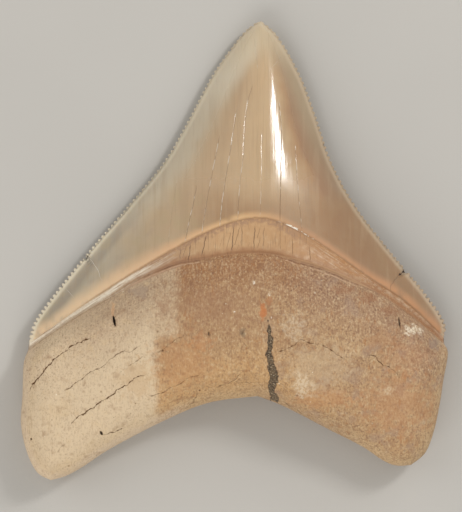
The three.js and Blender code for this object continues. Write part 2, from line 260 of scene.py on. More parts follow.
LEFT_HALF = Half(
    edge=Curve(
        ((3.65, 31.6), (2.45, 31.0), (0.45, 29.0), (-3.1, 24.0), (-6.3, 18.0), (-9.8, 12.0))
        + ((-14.7, 6.0), (-19.9, 0.0), (-24.75, -6.0), (-27.6, -10.0), (-28.35, -12.9))
    ),
    side=Curve(
        ((-28.4, -13.75), (-29.05, -15.7), (-29.2, -20.0), (-29.4, -24.0), (-28.6, -27.8))
        + ((-27.2, -30.6), (-25.3, -31.7))
    ),
    foot=Curve(
        ((3.2, -20.1), (-3.5, -21.0), (-9.5, -23.4), (-17.0, -27.3), (-20.8, -29.8))
        + ((-23.2, -31.1), (-25.3, -31.7))
    ),
    serration_pitch=0.66,
    arch=((TIP, 1.6), (ENAMEL, 1.2), (ROOT, 1.65)),
    nick=(0.742, 0.34, 0.9),
)
RIGHT_HALF = Half(
    edge=Curve(
        ((3.65, 31.6), (4.45, 31.0), (6.3, 29.0), (9.1, 24.0), (11.35, 18.0), (13.4, 12.0))
        + ((16.7, 6.0), (21.3, 0.0), (26.3, -6.0), (28.9, -10.0), (28.85, -12.2))
    ),
    side=Curve(
        ((28.85, -12.9), (29.4, -14.3), (28.8, -17.8), (28.3, -21.0), (27.5, -24.8))
        + ((26.3, -27.9), (24.3, -29.6))
    ),
    foot=Curve(
        ((3.2, -20.1), (7.0, -21.6), (13.0, -24.7), (17.5, -27.0), (20.5, -29.0))
        + ((22.4, -29.7), (24.3, -29.6))
    ),
    serration_pitch=0.73,
    arch=((TIP, 1.6), (ENAMEL, 1.17), (ROOT, 1.95)),
    nick=(0.783, 0.62, 0.6),
    margin_lift=0.72,
)


@dataclass(frozen=True)
class ToothForm:
    """The shape of the tooth: where each point of its skin lies."""

    left: Half = LEFT_HALF
    right: Half = RIGHT_HALF
    midline: tuple[tuple[float, float, float], ...] = (
        (TIP, 3.65, 31.6),
        (ENAMEL, 3.3, 4.35),
        (ROOT, 2.2, -0.45),
        (FOOT, 3.2, -20.1),
    )
    arch_softness: float = 0.16
    crest: Stations = (
        ((TIP, 2.0), (0.02, 3.0), (0.056, 3.9), (0.144, 5.2), (0.255, 6.6), (0.387, 8.1))
        + ((0.45, 8.72), (0.519, 9.3), (ENAMEL, 9.95), (ROOT, 10.6), (0.721, 12.2), (0.79, 13.1), (0.86, 12.9))
        + ((0.93, 11.8), (FOOT, 10.4))
    )
    belly: Stations = (
        ((TIP, 2.0), (0.03, 1.0), (0.08, 0.4), (0.16, -0.05), (0.25, -0.1), (0.35, 0.1), (0.5, 0.7))
        + ((ENAMEL, 1.1), (ROOT, 1.2), (0.75, 1.0), (0.85, 0.6), (FOOT, 0.3))
    )
    rim: Stations = (
        ((TIP, 2.0), (0.1, 1.9), (0.3, 2.2), (0.5, 2.8), (ENAMEL, 3.2), (ROOT, 3.6), (0.8, 3.9))
        + ((FOOT, 3.8),)
    )
    notch_rise: float = 0.8
    lobe_height: float = 8.3
    lobe_underside: float = -0.15
    flank: Stations = (
        ((TIP, 0.95), (0.156, 1.1), (0.24, 0.98), (0.326, 1.05), (0.372, 1.15), (0.416, 1.45))
        + ((0.476, 1.85), (0.54, 1.7), (ENAMEL, 1.35))
    )
    ridge: Stations = (
        ((TIP, 2.0), (0.15, 2.14), (0.22, 2.05), (0.33, 1.9), (0.4, 1.85), (0.476, 1.92))
        + ((ENAMEL, 1.95),)
    )
    rounding: float = 4.6
    under_rounding: float = 3.6
    outer_margin_drop: float = 0.105

    def mid(self, level: np.ndarray) -> np.ndarray:
        """Return the midline's points at the given levels."""
        levels, xs, ys = np.array(self.midline).T
        return np.column_stack([np.interp(level, levels, xs), np.interp(level, levels, ys)])

    def _arched_row(self, half: Half, reach: np.ndarray, level: np.ndarray) -> np.ndarray:
        """Place points on the drooping rows that cross the crown.

        Args:
            half: The half that they are on.
            reach: Distance across from the midline, 0 to 1.
            level: Level of each point.

        Returns:
            The points, seen from above.
        """
        soft = self.arch_softness**2
        power = through(half.arch, level)
        bend = (reach**2 + soft) ** (power / 2.0) - soft ** (power / 2.0)
        bend /= (1.0 + soft) ** (power / 2.0) - soft ** (power / 2.0)
        row = mix(self.mid(level), half.outline(level), np.column_stack([reach, bend]))
        row[:, 1] += half.margin_lift * hump(reach, 0.8, 0.15) * hump(level, ENAMEL, 0.035)
        return row

    def _half_plan(self, half: Half, reach: np.ndarray, level: np.ndarray) -> np.ndarray:
        """Place points of one half.

        Args:
            half: The half that they are on.
            reach: Distance across from the midline, 0 to 1.
            level: Level of each point.

        Returns:
            The points, seen from above.
        """
        crown = self._arched_row(half, reach, np.minimum(level, ROOT))
        k = np.clip((level - ROOT) / (FOOT - ROOT), 0.0, 1.0)[:, None]
        top = np.full_like(level, ROOT)
        row = mix(self._arched_row(half, reach, top), half.foot.at(reach), k)
        end = mix(half.outline(top), half.foot.at(np.ones_like(reach)), k)
        root = row + (half.outline(level) - end) * (reach**2)[:, None]
        return np.where((level <= ROOT)[:, None], crown, root)

    def plan(self, reach: np.ndarray, level: np.ndarray) -> np.ndarray:
        """Return points of the skin seen from above.

        Args:
            reach: -1 at the left rim to 1 at the right one.
            level: 0 at the tip to 1 at the foot.

        Returns:
            An x and a y for each point.
        """
        left = self._half_plan(self.left, np.abs(reach), level)
        right = self._half_plan(self.right, np.abs(reach), level)
        return np.where((reach < 0.0)[:, None], left, right)

    def outer_level(self, reach: np.ndarray, level: np.ndarray) -> np.ndarray:
        """Work out the levels on the outer face, where the enamel reaches lower on the midline.

        Args:
            reach: -1 at the left rim to 1 at the right one.
            level: The levels on the inner face.

        Returns:
            The levels.
        """
        start, drop = 0.35, self.outer_margin_drop * (1.0 - reach**2)
        above = level + drop * np.clip((level - start) / (OUTER_MARGIN - start), 0.0, None)
        below = FOOT - (FOOT - level) * (FOOT - OUTER_MARGIN - drop) / (FOOT - OUTER_MARGIN)
        return np.where(level < OUTER_MARGIN, above, below)

    def row(self, level: float, count: int = 161) -> Line:
        """Return a whole row, from the left rim to the right one."""
        return Line(self.plan(np.linspace(-1.0, 1.0, count), np.full(count, level)))

    @cached_property
    def enamel_line(self) -> Line:
        """The lower edge of the enamel on the inner face."""
        return self.row(ENAMEL)

    @cached_property
    def root_line(self) -> Line:
        """The upper edge of the root on the inner face."""
        return self.row(ROOT)

    @cached_property
    def outer_line(self) -> Line:
        """The line where enamel meets root on the outer face.

        Returns:
            Its points, from the left rim to the right one.
        """
        reach = np.linspace(-1.0, 1.0, 161)
        margin = np.full_like(reach, OUTER_MARGIN - 1e-6)
        return Line(self.plan(reach, self.outer_level(reach, margin)))

    @cached_property
    def rim_line(self) -> Line:
        """The whole outline.

        Returns:
            Its points, from the tip down the left side, along the foot and up the right.
        """
        level, foot = np.linspace(TIP, FOOT, 300), np.linspace(0.0, 1.0, 80)
        return Line(
            np.vstack(
                [
                    self.left.outline(level),
                    self.left.foot.at(foot[::-1])[1:],
                    self.right.foot.at(foot)[1:],
                    self.right.outline(level[::-1])[1:],
                ]
            )
        )

    def _root_share(self, reach: np.ndarray, level: np.ndarray) -> np.ndarray:
        """Return how far the skin has gone over from thin blade to thick root."""
        return smooth(level, mix(ENAMEL, 0.635, reach), mix(0.77, 0.7, reach))

    def _rounded(self, distance: np.ndarray, radius: float) -> np.ndarray:
        """Return 0 at the rim to 1 a radius in, along a quarter of a circle."""
        return np.sqrt(1.0 - (1.0 - np.clip(distance / radius, 0.0, 1.0)) ** 2)

    def rim_height(self, reach: np.ndarray, level: np.ndarray) -> np.ndarray:
        """Return the height of the rim at the given levels."""
        return through(self.rim, level) + self.notch_rise * (1.0 - reach**2) * smooth(level, 0.9, FOOT)

    def top(self, reach: np.ndarray, level: np.ndarray, inset: np.ndarray) -> np.ndarray:
        """Return the inner face's height without its relief.

        Args:
            reach: Distance across from the midline, 0 to 1.
            level: Level of each point.
            inset: Distance in from the outline.

        Returns:
            One height for each point.
        """
        rim = self.rim_height(reach, level)
        mid = through(self.crest, level)
        crown_level = np.minimum(level, ENAMEL)
        fall = (1.0 - reach ** through(self.ridge, crown_level)) ** through(self.flank, crown_level)
        blade = rim + (mid - rim) * fall
        lobe = self.lobe_height + (mid - self.lobe_height) * (1.0 - reach**2) ** 1.5
        body = rim + (lobe - rim) * self._rounded(inset, self.rounding)
        return mix(blade, body, self._root_share(reach, level))

    def underside(self, reach: np.ndarray, level: np.ndarray, inset: np.ndarray) -> np.ndarray:
        """Work out the outer face's height without its relief.

        Args:
            reach: Distance across from the midline, 0 to 1.
            level: Level of each point.
            inset: Distance in from the outline.

        Returns:
            One height for each point.
        """
        rim = self.rim_height(reach, level)
        mid = through(self.belly, level)
        blade = rim - (rim - mid) * (1.0 - reach**2.5)
        lobe = mix(mid, self.lobe_underside, smooth(reach, 0.1, 0.5))
        body = rim - (rim - lobe) * self._rounded(inset, self.under_rounding)
        return mix(blade, body, self._root_share(reach, level))


# Damage and openings


@dataclass(frozen=True)
class Crack:
    """A crack seen from above, with the share of its strength that it has."""

    path: Points
    strength: float = 1.0


@dataclass(frozen=True)
class Pit:
    """A slit or pit: its middle, its size, how deep it is and how far its length is turned from Y."""

    x: float
    y: float
    length: float
    width: float
    depth: float
    turn: float = 0.0


CROWN_CRACKS = (
    Crack(((-5.2, 8.9), (-5.57, 6.8), (-6.2, 3.9), (-6.77, 1.1))),
    Crack(((-2.06, 15.6), (-2.58, 12.9), (-3.48, 8.3), (-3.85, 6.3), (-4.5, 2.2)), 0.8),
    Crack(((0.23, 19.2), (-0.01, 17.3), (-0.5, 14.4), (-1.0, 10.9), (-1.7, 6.8), (-2.0, 3.2)), 0.9),
    Crack(((2.5, 22.6), (1.7, 20.1), (1.34, 16.7), (1.16, 12.7), (0.7, 9.0), (0.4, 3.9)), 0.7),
    Crack(((6.1, 20.3), (6.5, 16.4), (6.4, 14.4), (6.33, 10.2), (6.26, 8.0), (6.2, 3.9))),
    Crack(((8.3, 14.4), (8.65, 8.7), (8.8, 7.2), (9.2, 2.6)), 0.6),
    Crack(((3.75, 16.0), (3.7, 11.0), (3.5, 4.6)), 0.45),
    Crack(((-7.9, 9.6), (-8.6, 5.0), (-9.1, 0.5)), 0.35),
    Crack(((2.7, 29.3), (2.9, 27.2), (3.2, 24.9)), 0.35),
    Crack(((6.6, 26.9), (5.9, 26.0), (5.0, 24.9)), 0.3),
    Crack(((-20.9, -0.3), (-20.3, -0.9), (-19.7, -1.5)), 1.14),
    Crack(((-20.0, -1.2), (-19.5, -1.8), (-18.8, -2.75), (-18.4, -3.9))),
    Crack(((24.8, -1.8), (23.5, -2.85), (22.5, -3.6)), 1.7),
    Crack(((23.3, -3.0), (22.9, -3.3), (22.0, -4.1), (21.4, -5.0), (21.4, -5.8))),
    Crack(((-23.2, -5.4), (-22.1, -6.5)), 0.5),
)
BAND_CRACKS = (
    Crack(((-7.4, 0.3), (-7.5, -1.4)), 0.6),
    Crack(((-6.05, 0.8), (-6.3, -1.6))),
    Crack(((-3.85, 2.0), (-4.5, -0.8))),
    Crack(((-2.58, 1.2), (-2.66, -0.4)), 0.45),
    Crack(((-1.35, 2.4), (-1.6, 0.4)), 0.35),
    Crack(((-0.1, 3.2), (-0.4, -0.2))),
    Crack(((1.06, 3.3), (0.9, 0.4)), 0.7),
    Crack(((2.8, 3.3), (2.6, 0.1)), 0.9),
    Crack(((4.0, 3.2), (3.9, 0.1)), 0.6),
    Crack(((6.2, 3.3), (6.2, -0.1)), 0.5),
    Crack(((7.9, 1.6), (7.95, -0.8)), 0.7),
    Crack(((10.2, 0.5), (10.4, -1.5)), 0.6),
)
ROOT_CRACKS = (
    Crack(
        ((-19.4, -11.9), (-22.3, -13.1), (-23.45, -14.0), (-24.65, -15.0), (-25.5, -15.7))
        + ((-26.3, -16.8), (-27.2, -17.9), (-27.9, -18.8), (-28.2, -19.5))
    ),
    Crack(
        ((-13.1, -13.2), (-14.0, -13.9), (-15.2, -13.85), (-16.3, -14.4), (-17.3, -15.2))
        + ((-18.5, -16.1), (-19.7, -16.7), (-20.6, -17.3), (-21.0, -17.8), (-23.2, -19.2)),
        0.75,
    ),
    Crack(
        ((-12.4, -17.1), (-13.4, -17.4), (-14.6, -18.3), (-15.8, -18.9), (-16.6, -19.7))
        + ((-18.2, -20.7), (-19.4, -21.6), (-20.6, -22.4), (-21.7, -23.0), (-22.3, -23.8))
    ),
    Crack(((-12.4, -14.4), (-13.4, -15.1), (-14.5, -15.8)), 0.6),
    Crack(((-14.9, -24.2), (-16.4, -24.8), (-17.3, -25.1), (-18.2, -25.2)), 0.85),
    Crack(((-23.2, -26.4), (-24.4, -27.75)), 0.5),
    Crack(
        ((-11.7, -19.75), (-10.8, -19.8), (-9.9, -19.5), (-9.0, -18.8), (-7.8, -18.5), (-6.7, -17.7))
        + ((-5.7, -17.2), (-4.8, -17.0)),
        0.7,
    ),
    Crack(((-2.4, -18.7), (-0.9, -18.2), (0.0, -17.7), (0.9, -16.8)), 0.7),
    Crack(((0.8, -18.1), (3.45, -18.1)), 0.6),
    Crack(((-10.5, -14.1), (-9.3, -13.1), (-8.2, -12.3), (-7.0, -11.75)), 0.6),
    Crack(((-6.4, -21.5), (-5.5, -20.65), (-4.8, -19.2)), 0.5),
    Crack(
        ((5.7, -13.9), (7.6, -13.2), (9.1, -12.2), (10.4, -12.7), (11.9, -12.9), (13.0, -13.4))
        + ((13.7, -14.1), (14.9, -14.8)),
        0.8,
    ),
    Crack(((16.9, -14.7), (17.8, -15.3)), 0.5),
    Crack(
        ((18.1, -14.3), (19.2, -14.5), (19.9, -15.5), (21.0, -16.0), (21.9, -16.6), (22.6, -17.5)),
        0.9,
    ),
    Crack(((0.6, -12.0), (1.8, -13.2)), 0.4),
    Crack(((6.6, -20.7), (8.1, -21.6), (9.6, -22.7)), 0.5),
)
OUTER_CRACKS = (
    Crack(((-1.0, 17.0), (-1.6, 9.0), (-1.9, 1.0), (-1.8, -5.0)), 0.8),
    Crack(((6.6, 12.0), (7.4, 4.0), (8.2, -4.5)), 0.7),
    Crack(((-10.6, -6.0), (-9.7, 0.5), (-8.2, 6.0)), 0.6),
    Crack(((15.5, -2.0), (16.6, -8.2)), 0.6),
)
OUTER_ROOT_CRACKS = (
    Crack(((-24.5, -14.5), (-20.4, -16.2), (-16.9, -16.4), (-13.0, -18.4))),
    Crack(((-19.0, -23.5), (-15.5, -22.4), (-12.4, -22.6)), 0.7),
    Crack(((2.4, -8.0), (2.9, -13.0), (2.5, -19.8)), 0.9),
    Crack(((12.4, -14.2), (17.0, -15.4), (20.8, -18.7), (25.4, -19.6))),
)
INNER_PITS = (
    Pit(-16.4, -9.7, 1.75, 0.36, 0.8, 13.0),
    Pit(22.5, -9.9, 2.2, 0.34, 0.3, 6.0),
    Pit(-3.5, -11.4, 0.95, 0.4, 0.25),
    Pit(1.06, -11.3, 0.85, 0.5, 0.2, -20.0),
    Pit(-27.86, -25.9, 0.5, 0.34, 0.3),
    Pit(-10.5, -11.1, 0.36, 0.32, 0.22),
    Pit(-9.77, -13.7, 0.4, 0.34, 0.26),
    Pit(-13.5, -20.9, 0.4, 0.3, 0.2),
    Pit(-18.97, -28.2, 0.34, 0.34, 0.22),
    Pit(-22.7, -29.6, 0.36, 0.36, 0.2),
    Pit(-18.2, -19.3, 0.36, 0.3, 0.22),
    Pit(-4.77, -19.15, 0.3, 0.5, 0.22, 20.0),
    Pit(-3.88, -19.1, 0.34, 0.34, 0.22),
    Pit(3.8, -18.55, 0.45, 0.34, 0.2),
    Pit(8.54, -19.85, 0.34, 0.34, 0.2),
    Pit(25.1, -12.2, 0.34, 0.34, 0.2),
    Pit(11.1, -3.1, 0.5, 0.36, 0.16),
    Pit(-18.2, -25.0, 0.8, 0.42, 0.45, 25.0),
    Pit(-15.3, -26.3, 0.3, 0.3, 0.2),
    Pit(14.2, -21.9, 0.3, 0.3, 0.16),
)
OUTER_PITS = (
    Pit(-21.0, -19.5, 0.7, 0.5, 0.4, 40.0),
    Pit(-6.5, -13.0, 0.5, 0.45, 0.35),
    Pit(9.0, -12.2, 0.55, 0.5, 0.35),
    Pit(21.5, -21.5, 0.6, 0.5, 0.35, -30.0),
    Pit(-1.0, -16.5, 0.45, 0.4, 0.3),
)
# The split that runs up from the notch of the root: [x, y], and half its width at each point.
SPLIT_PATH = (
    ((4.55, -9.6), (4.68, -10.7), (4.9, -12.4), (4.64, -14.0), (5.0, -15.8), (5.45, -17.2))
    + ((5.2, -18.5), (5.1, -19.2), (5.45, -20.3), (5.5, -22.0))
)
SPLIT_HALF_WIDTHS = (0.0, 0.15, 0.36, 0.34, 0.48, 0.53, 0.47, 0.41, 0.49, 0.54)


@dataclass
class Wear:
    """Cracks, pits and the split, and how far they reach into each face."""

    crack_reach: float = 0.55  # how far to each side a crack's own measure is kept
    end_taper: float = 0.5
    split_depth: float = 0.2

    def crack_field(self, cracks: tuple[Crack, ...], place: np.ndarray) -> tuple[np.ndarray, np.ndarray]:
        """Measure each point from the nearest crack.

        Args:
            cracks: The cracks of one tissue.
            place: Points seen from above.

        Returns:
            The distance across the crack, signed so that it runs through 0 at the crack, and how strong the
            crack is there.
        """
        across = np.full(len(place), 9.0)
        strength = np.zeros(len(place))
        for crack in cracks:
            line = Line(np.array(crack.path))
            length = float(np.hypot(*np.diff(line.points, axis=0).T).sum())
            along, away = line.nearest(place)
            ends = smooth(np.minimum(along, length - along), -0.01, self.end_taper)
            near = 1.0 - smooth(np.abs(away), self.crack_reach * 0.8, self.crack_reach * 1.3)
            closer = np.abs(away) < np.abs(across)
            across = np.where(closer, away, across)
            strength = np.where(closer, crack.strength * (0.25 + 0.75 * ends) * near * (ends > 0.001), strength)
        return across, strength

    def pit_field(self, pits: tuple[Pit, ...], place: np.ndarray) -> np.ndarray:
        """Measure how deep the surface sinks into pits.

        Args:
            pits: The pits of one face.
            place: Points seen from above.

        Returns:
            One depth for each point.
        """
        sunk = np.zeros(len(place))
        for pit in pits:
            turn = math.radians(pit.turn)
            dx, dy = place[:, 0] - pit.x, place[:, 1] - pit.y
            across = (dx * math.cos(turn) + dy * math.sin(turn)) / (pit.width / 2.0)
            along = (dy * math.cos(turn) - dx * math.sin(turn)) / (pit.length / 2.0)
            sunk = np.maximum(sunk, pit.depth * (1.0 - smooth(np.hypot(across, along), 0.35, 1.15)))
        return sunk

    def split_field(self, place: np.ndarray) -> np.ndarray:
        """Measure how far inside the split each point is.

        Args:
            place: Points seen from above.

        Returns:
            One distance for each point, negative outside the split.
        """
        line = Line(np.array(SPLIT_PATH))
        along, away = line.nearest(place)
        begun = np.concatenate([[0.0], np.cumsum(np.hypot(*np.diff(line.points, axis=0).T))])
        ragged = 0.13 * unevenness(place, 0.5, Seed.SPLIT_EDGE) + 0.08 * unevenness(place, 0.22, Seed.SPLIT_FRAY)
        return np.interp(along, begun, SPLIT_HALF_WIDTHS) + ragged * (np.abs(away) < 2.0) - np.abs(away)


# Finishes


def linear(code: str) -> tuple[float, float, float, float]:
    """Turn a colour linear.

    Args:
        code: An sRGB hex value.

    Returns:
        Its linear red, green and blue, and 1 for opaque.
    """
    parts = [int(code[i : i + 2], 16) / 255.0 for i in (1, 3, 5)]
    red, green, blue = (p / 12.92 if p <= 0.04045 else ((p + 0.055) / 1.055) ** 2.4 for p in parts)
    return red, green, blue, 1.0


def add_node(
    tree: bpy.types.NodeTree, kind: str, settings: dict | None = None, links: dict | None = None
) -> bpy.types.Node:
    """Add a node to a material.

    Args:
        tree: The material's node tree.
        kind: The node's type.
        settings: Its properties, by name.
        links: Its inputs by name or number: a Value is linked, anything else is set.

    Returns:
        The new node.
    """
    node = tree.nodes.new(kind)
    for name, setting in (settings or {}).items():
        setattr(node, name, setting)
    for key, term in (links or {}).items():
        if isinstance(term, Value):
            tree.links.new(term.socket, node.inputs[key])
        else:
            node.inputs[key].default_value = term
    return node


@dataclass(frozen=True)
class Value:
    """What a material works out at each place. A sum on values adds the node that works it out."""

    socket: bpy.types.NodeSocket

    def _sum(self, operation: str, *terms: Value | float) -> Value:
        """Return the result of a named sum."""
        node = add_node(self.socket.id_data, "ShaderNodeMath", {"operation": operation}, dict(enumerate(terms)))
        return Value(node.outputs[0])

    def __add__(self, other: Value | float) -> Value:
        """Return this and the other added up."""
        return self._sum("ADD", self, other)

    def __sub__(self, other: Value | float) -> Value:
        """Return this less the other."""
        return self._sum("SUBTRACT", self, other)

    def __rsub__(self, other: float) -> Value:
        """Return the other less this."""
        return self._sum("SUBTRACT", other, self)

    def __mul__(self, other: Value | float) -> Value:
        """Return this times the other. The product of two shares is where both are."""
        return self._sum("MULTIPLY", self, other)

    def __abs__(self) -> Value:
        """Return this without its sign."""
        return self._sum("ABSOLUTE", self)

    def larger(self, other: Value | float) -> Value:
        """Return the larger of this and the other."""
        return self._sum("MAXIMUM", self, other)

    def away(self, other: Value) -> Value:
        """Return the distance from 0 of a place with this and the other as its x and y."""
        return self._sum("SQRT", self * self + other * other)

    def step(self, low: float, high: float, top: float = 1.0) -> Value:
        """Turn this into a share, with a soft step.

        Args:
            low: Where the share is 0.
            high: Where the share is at its top. It may be under low.
            top: The top.

        Returns:
            The share.
        """
        links = {"Value": self, "From Min": low, "From Max": high, "To Max": top}
        node = add_node(self.socket.id_data, "ShaderNodeMapRange", {"interpolation_type": "SMOOTHSTEP"}, links)
        return Value(node.outputs["Result"])

    def between(self, low: float, high: float, soft: float) -> Value:
        """Return 1 where this is between low and high, with soft ends."""
        return self.step(low - soft, low + soft) * self.step(high + soft, high - soft)

    def moved(self, noise: Value, amount: float) -> Value:
        """Return this shifted either way by noise about 0.5."""
        return self._sum("MULTIPLY_ADD", noise, amount, self - amount / 2.0)


@dataclass
class Surface:
    """A material being made: its colour so far, and its bump so far in millimetres."""

    name: str
    material: bpy.types.Material = field(init=False)
    tree: bpy.types.NodeTree = field(init=False)
    shader: bpy.types.Node = field(init=False)
    place: Value = field(init=False)
    x: Value = field(init=False)
    y: Value = field(init=False)
    z: Value = field(init=False)
    colour: Value | str | None = field(init=False, default=None)
    height: Value | None = field(init=False, default=None)

    def __post_init__(self) -> None:
        """Start the material with its shader, and with the place on the tooth in millimetres."""
        self.material = bpy.data.materials.new(self.name)
        self.material.use_nodes = True
        self.tree = self.material.node_tree
        self.shader = self.tree.nodes["Principled BSDF"]
        metres = Value(add_node(self.tree, "ShaderNodeTexCoord").outputs["Object"])
        links = {"Vector": metres, "Scale": 1.0 / MM}
        scaled = add_node(self.tree, "ShaderNodeVectorMath", {"operation": "SCALE"}, links)
        self.place = Value(scaled.outputs["Vector"])
        parts = add_node(self.tree, "ShaderNodeSeparateXYZ", {}, {"Vector": self.place})
        self.x, self.y, self.z = (Value(output) for output in parts.outputs)

    def measure(self, name: str) -> Value:
        """Return a measure that the mesh stores at its points."""
        return Value(add_node(self.tree, "ShaderNodeAttribute", {"attribute_name": name}).outputs["Fac"])

    def noise(self, grain: float, detail: float, where: Value | None = None) -> Value:
        """Return soft noise about 0.5.

        Args:
            grain: The size of its lumps, in millimetres.
            detail: How many finer sizes are laid over the first, each half the size of the last.
            where: The place to read it at, if that isn't the place on the tooth.

        Returns:
            The noise.
        """
        links = {"Vector": where or self.place, "Scale": 1.0 / grain, "Detail": detail}
        return Value(add_node(self.tree, "ShaderNodeTexNoise", {}, links).outputs["Fac"])

    def fibres(self, size: Size, detail: float) -> Value:
        """Return soft noise about 0.5, drawn out.

        Args:
            size: The size of its lumps along X, Y and Z, in millimetres.
            detail: How many finer sizes are laid over the first, each half the size of the last.

        Returns:
            The noise.
        """
        links = {"Vector": self.place, "Scale": tuple(1.0 / part for part in size)}
        drawn_out = Value(add_node(self.tree, "ShaderNodeMapping", {}, links).outputs["Vector"])
        return self.noise(1.0, detail, drawn_out)

    def gradient(self, value: Value, stops: Stops) -> Value:
        """Return colours that change with a value.

        Args:
            value: What the colours follow.
            stops: Values and their sRGB colours, in rising order.

        Returns:
            The colour.
        """
        low, high = stops[0][0], stops[-1][0]
        links = {"Value": value, "From Min": low, "From Max": high}
        share = Value(add_node(self.tree, "ShaderNodeMapRange", {}, links).outputs["Result"])
        ramp = add_node(self.tree, "ShaderNodeValToRGB", {}, {"Fac": share})
        bar = ramp.color_ramp.elements
        while len(bar) < len(stops):
            bar.new(0.5)
        for element, (at, code) in zip(bar, stops):
            element.position = (at - low) / (high - low)
            element.color = linear(code)
        return Value(ramp.outputs["Color"])

    def paint(self, share: Value | float, colour: Value | str) -> None:
        """Lay a colour over what is there.

        Args:
            share: How far it covers, 0 to 1.
            colour: A colour that changes over the surface, or an sRGB hex value.
        """
        if self.colour is None:
            self.colour = colour
            return
        base, over = (linear(c) if isinstance(c, str) else c for c in (self.colour, colour))
        node = add_node(self.tree, "ShaderNodeMix", {"data_type": "RGBA"}, {0: share, 6: base, 7: over})
        self.colour = Value(node.outputs[2])

    def raise_by(self, value: Value, amount: float) -> None:
        """Add a value times an amount in millimetres to the bump."""
        self.height = value * amount if self.height is None else self.height + value * amount

    def crack_line(self, wander: Value, sway: float, width: Value | float, soft: float) -> Value:
        """Return where the stored cracks run.

        Args:
            wander: Noise about 0.5 that lets the line stray.
            sway: How far it strays, from side to side.
            width: Half the width of the crack.
            soft: How soft the crack's sides are.

        Returns:
            The share of the crack at each place, with the crack's own strength.
        """
        away = abs(self.measure("crack").moved(wander, sway))
        return (away - width).step(soft, -soft) * self.measure("crack_strength")

    def finish(self, roughness: Value | float, ior: float) -> bpy.types.Material:
        """Give the shader its colour, bump and gloss.

        Args:
            roughness: 0 for a mirror to 1 for chalk.
            ior: The index of refraction.

        Returns:
            The finished material.
        """
        bump = add_node(self.tree, "ShaderNodeBump", {}, {"Height": self.height, "Distance": MM, "Strength": 1.0})
        self.tree.links.new(self.colour.socket, self.shader.inputs["Base Color"])
        self.tree.links.new(bump.outputs["Normal"], self.shader.inputs["Normal"])
        if isinstance(roughness, Value):
            self.tree.links.new(roughness.socket, self.shader.inputs["Roughness"])
        else:
            self.shader.inputs["Roughness"].default_value = roughness
        self.shader.inputs["IOR"].default_value = ior
        return self.material


@dataclass(frozen=True)
class Stain:
    """A spot of another colour: its middle, its size and how strong it is."""

    x: float
    y: float
    width: float
    height: float
    code: str
    strength: float = 1.0

    def share(self, s: Surface, wobble: Value) -> Value:
        """Return where the stain is. It stays on the inner face, so it fades out at the foot of the rim.

        Args:
            s: The material that it is on.
            wobble: Noise about 0.5 that makes its edge ragged.

        Returns:
            Its share at each place.
        """
        across, along = (s.x - self.x) * (2.0 / self.width), (s.y - self.y) * (2.0 / self.height)
        return across.away(along).moved(wobble, 3.2).step(1.3, 0.5, self.strength) * s.z.step(1.3, 2.6)


@dataclass(frozen=True)
class MarginLine:
    """The root's margin on the arms: a thin groove, darker brown along it, with painted light on the lip under it.
    """

    groove_brown: str = "#946f57"
    groove: str = "#7d5a42"
    lip: str = "#d9b89a"

    def trace(self, s: Surface) -> None:
        """Draw the line. It is broken here and there, and faint at the far ends of the arms.

        Args:
            s: The material, of the bare band or of the root.
        """
        left = s.x.step(-2.5, -6.0) * (s.x.step(-16.0, -10.0, 0.6) + 0.4)
        right = s.x.step(5.0, 8.0) * (s.x.step(18.0, 13.0, 0.7) + 0.3)
        arms = (left + right) * (s.noise(0.9, 3.0).step(0.38, 0.6, 0.6) + 0.3)
        wavering = s.measure("to_root_edge").moved(s.noise(1.4, 3.0), 0.35)
        # Darker brown around the groove and in it.
        s.paint(wavering.between(-0.3, 0.12, 0.15) * arms * 0.5, self.groove_brown)
        s.paint(wavering.between(0.0, 0.12, 0.06) * arms, self.groove)
        # Painted light on the lip, whose upper side faces the light.
        s.paint(wavering.between(0.25, 0.37, 0.07) * arms * 0.85, self.lip)


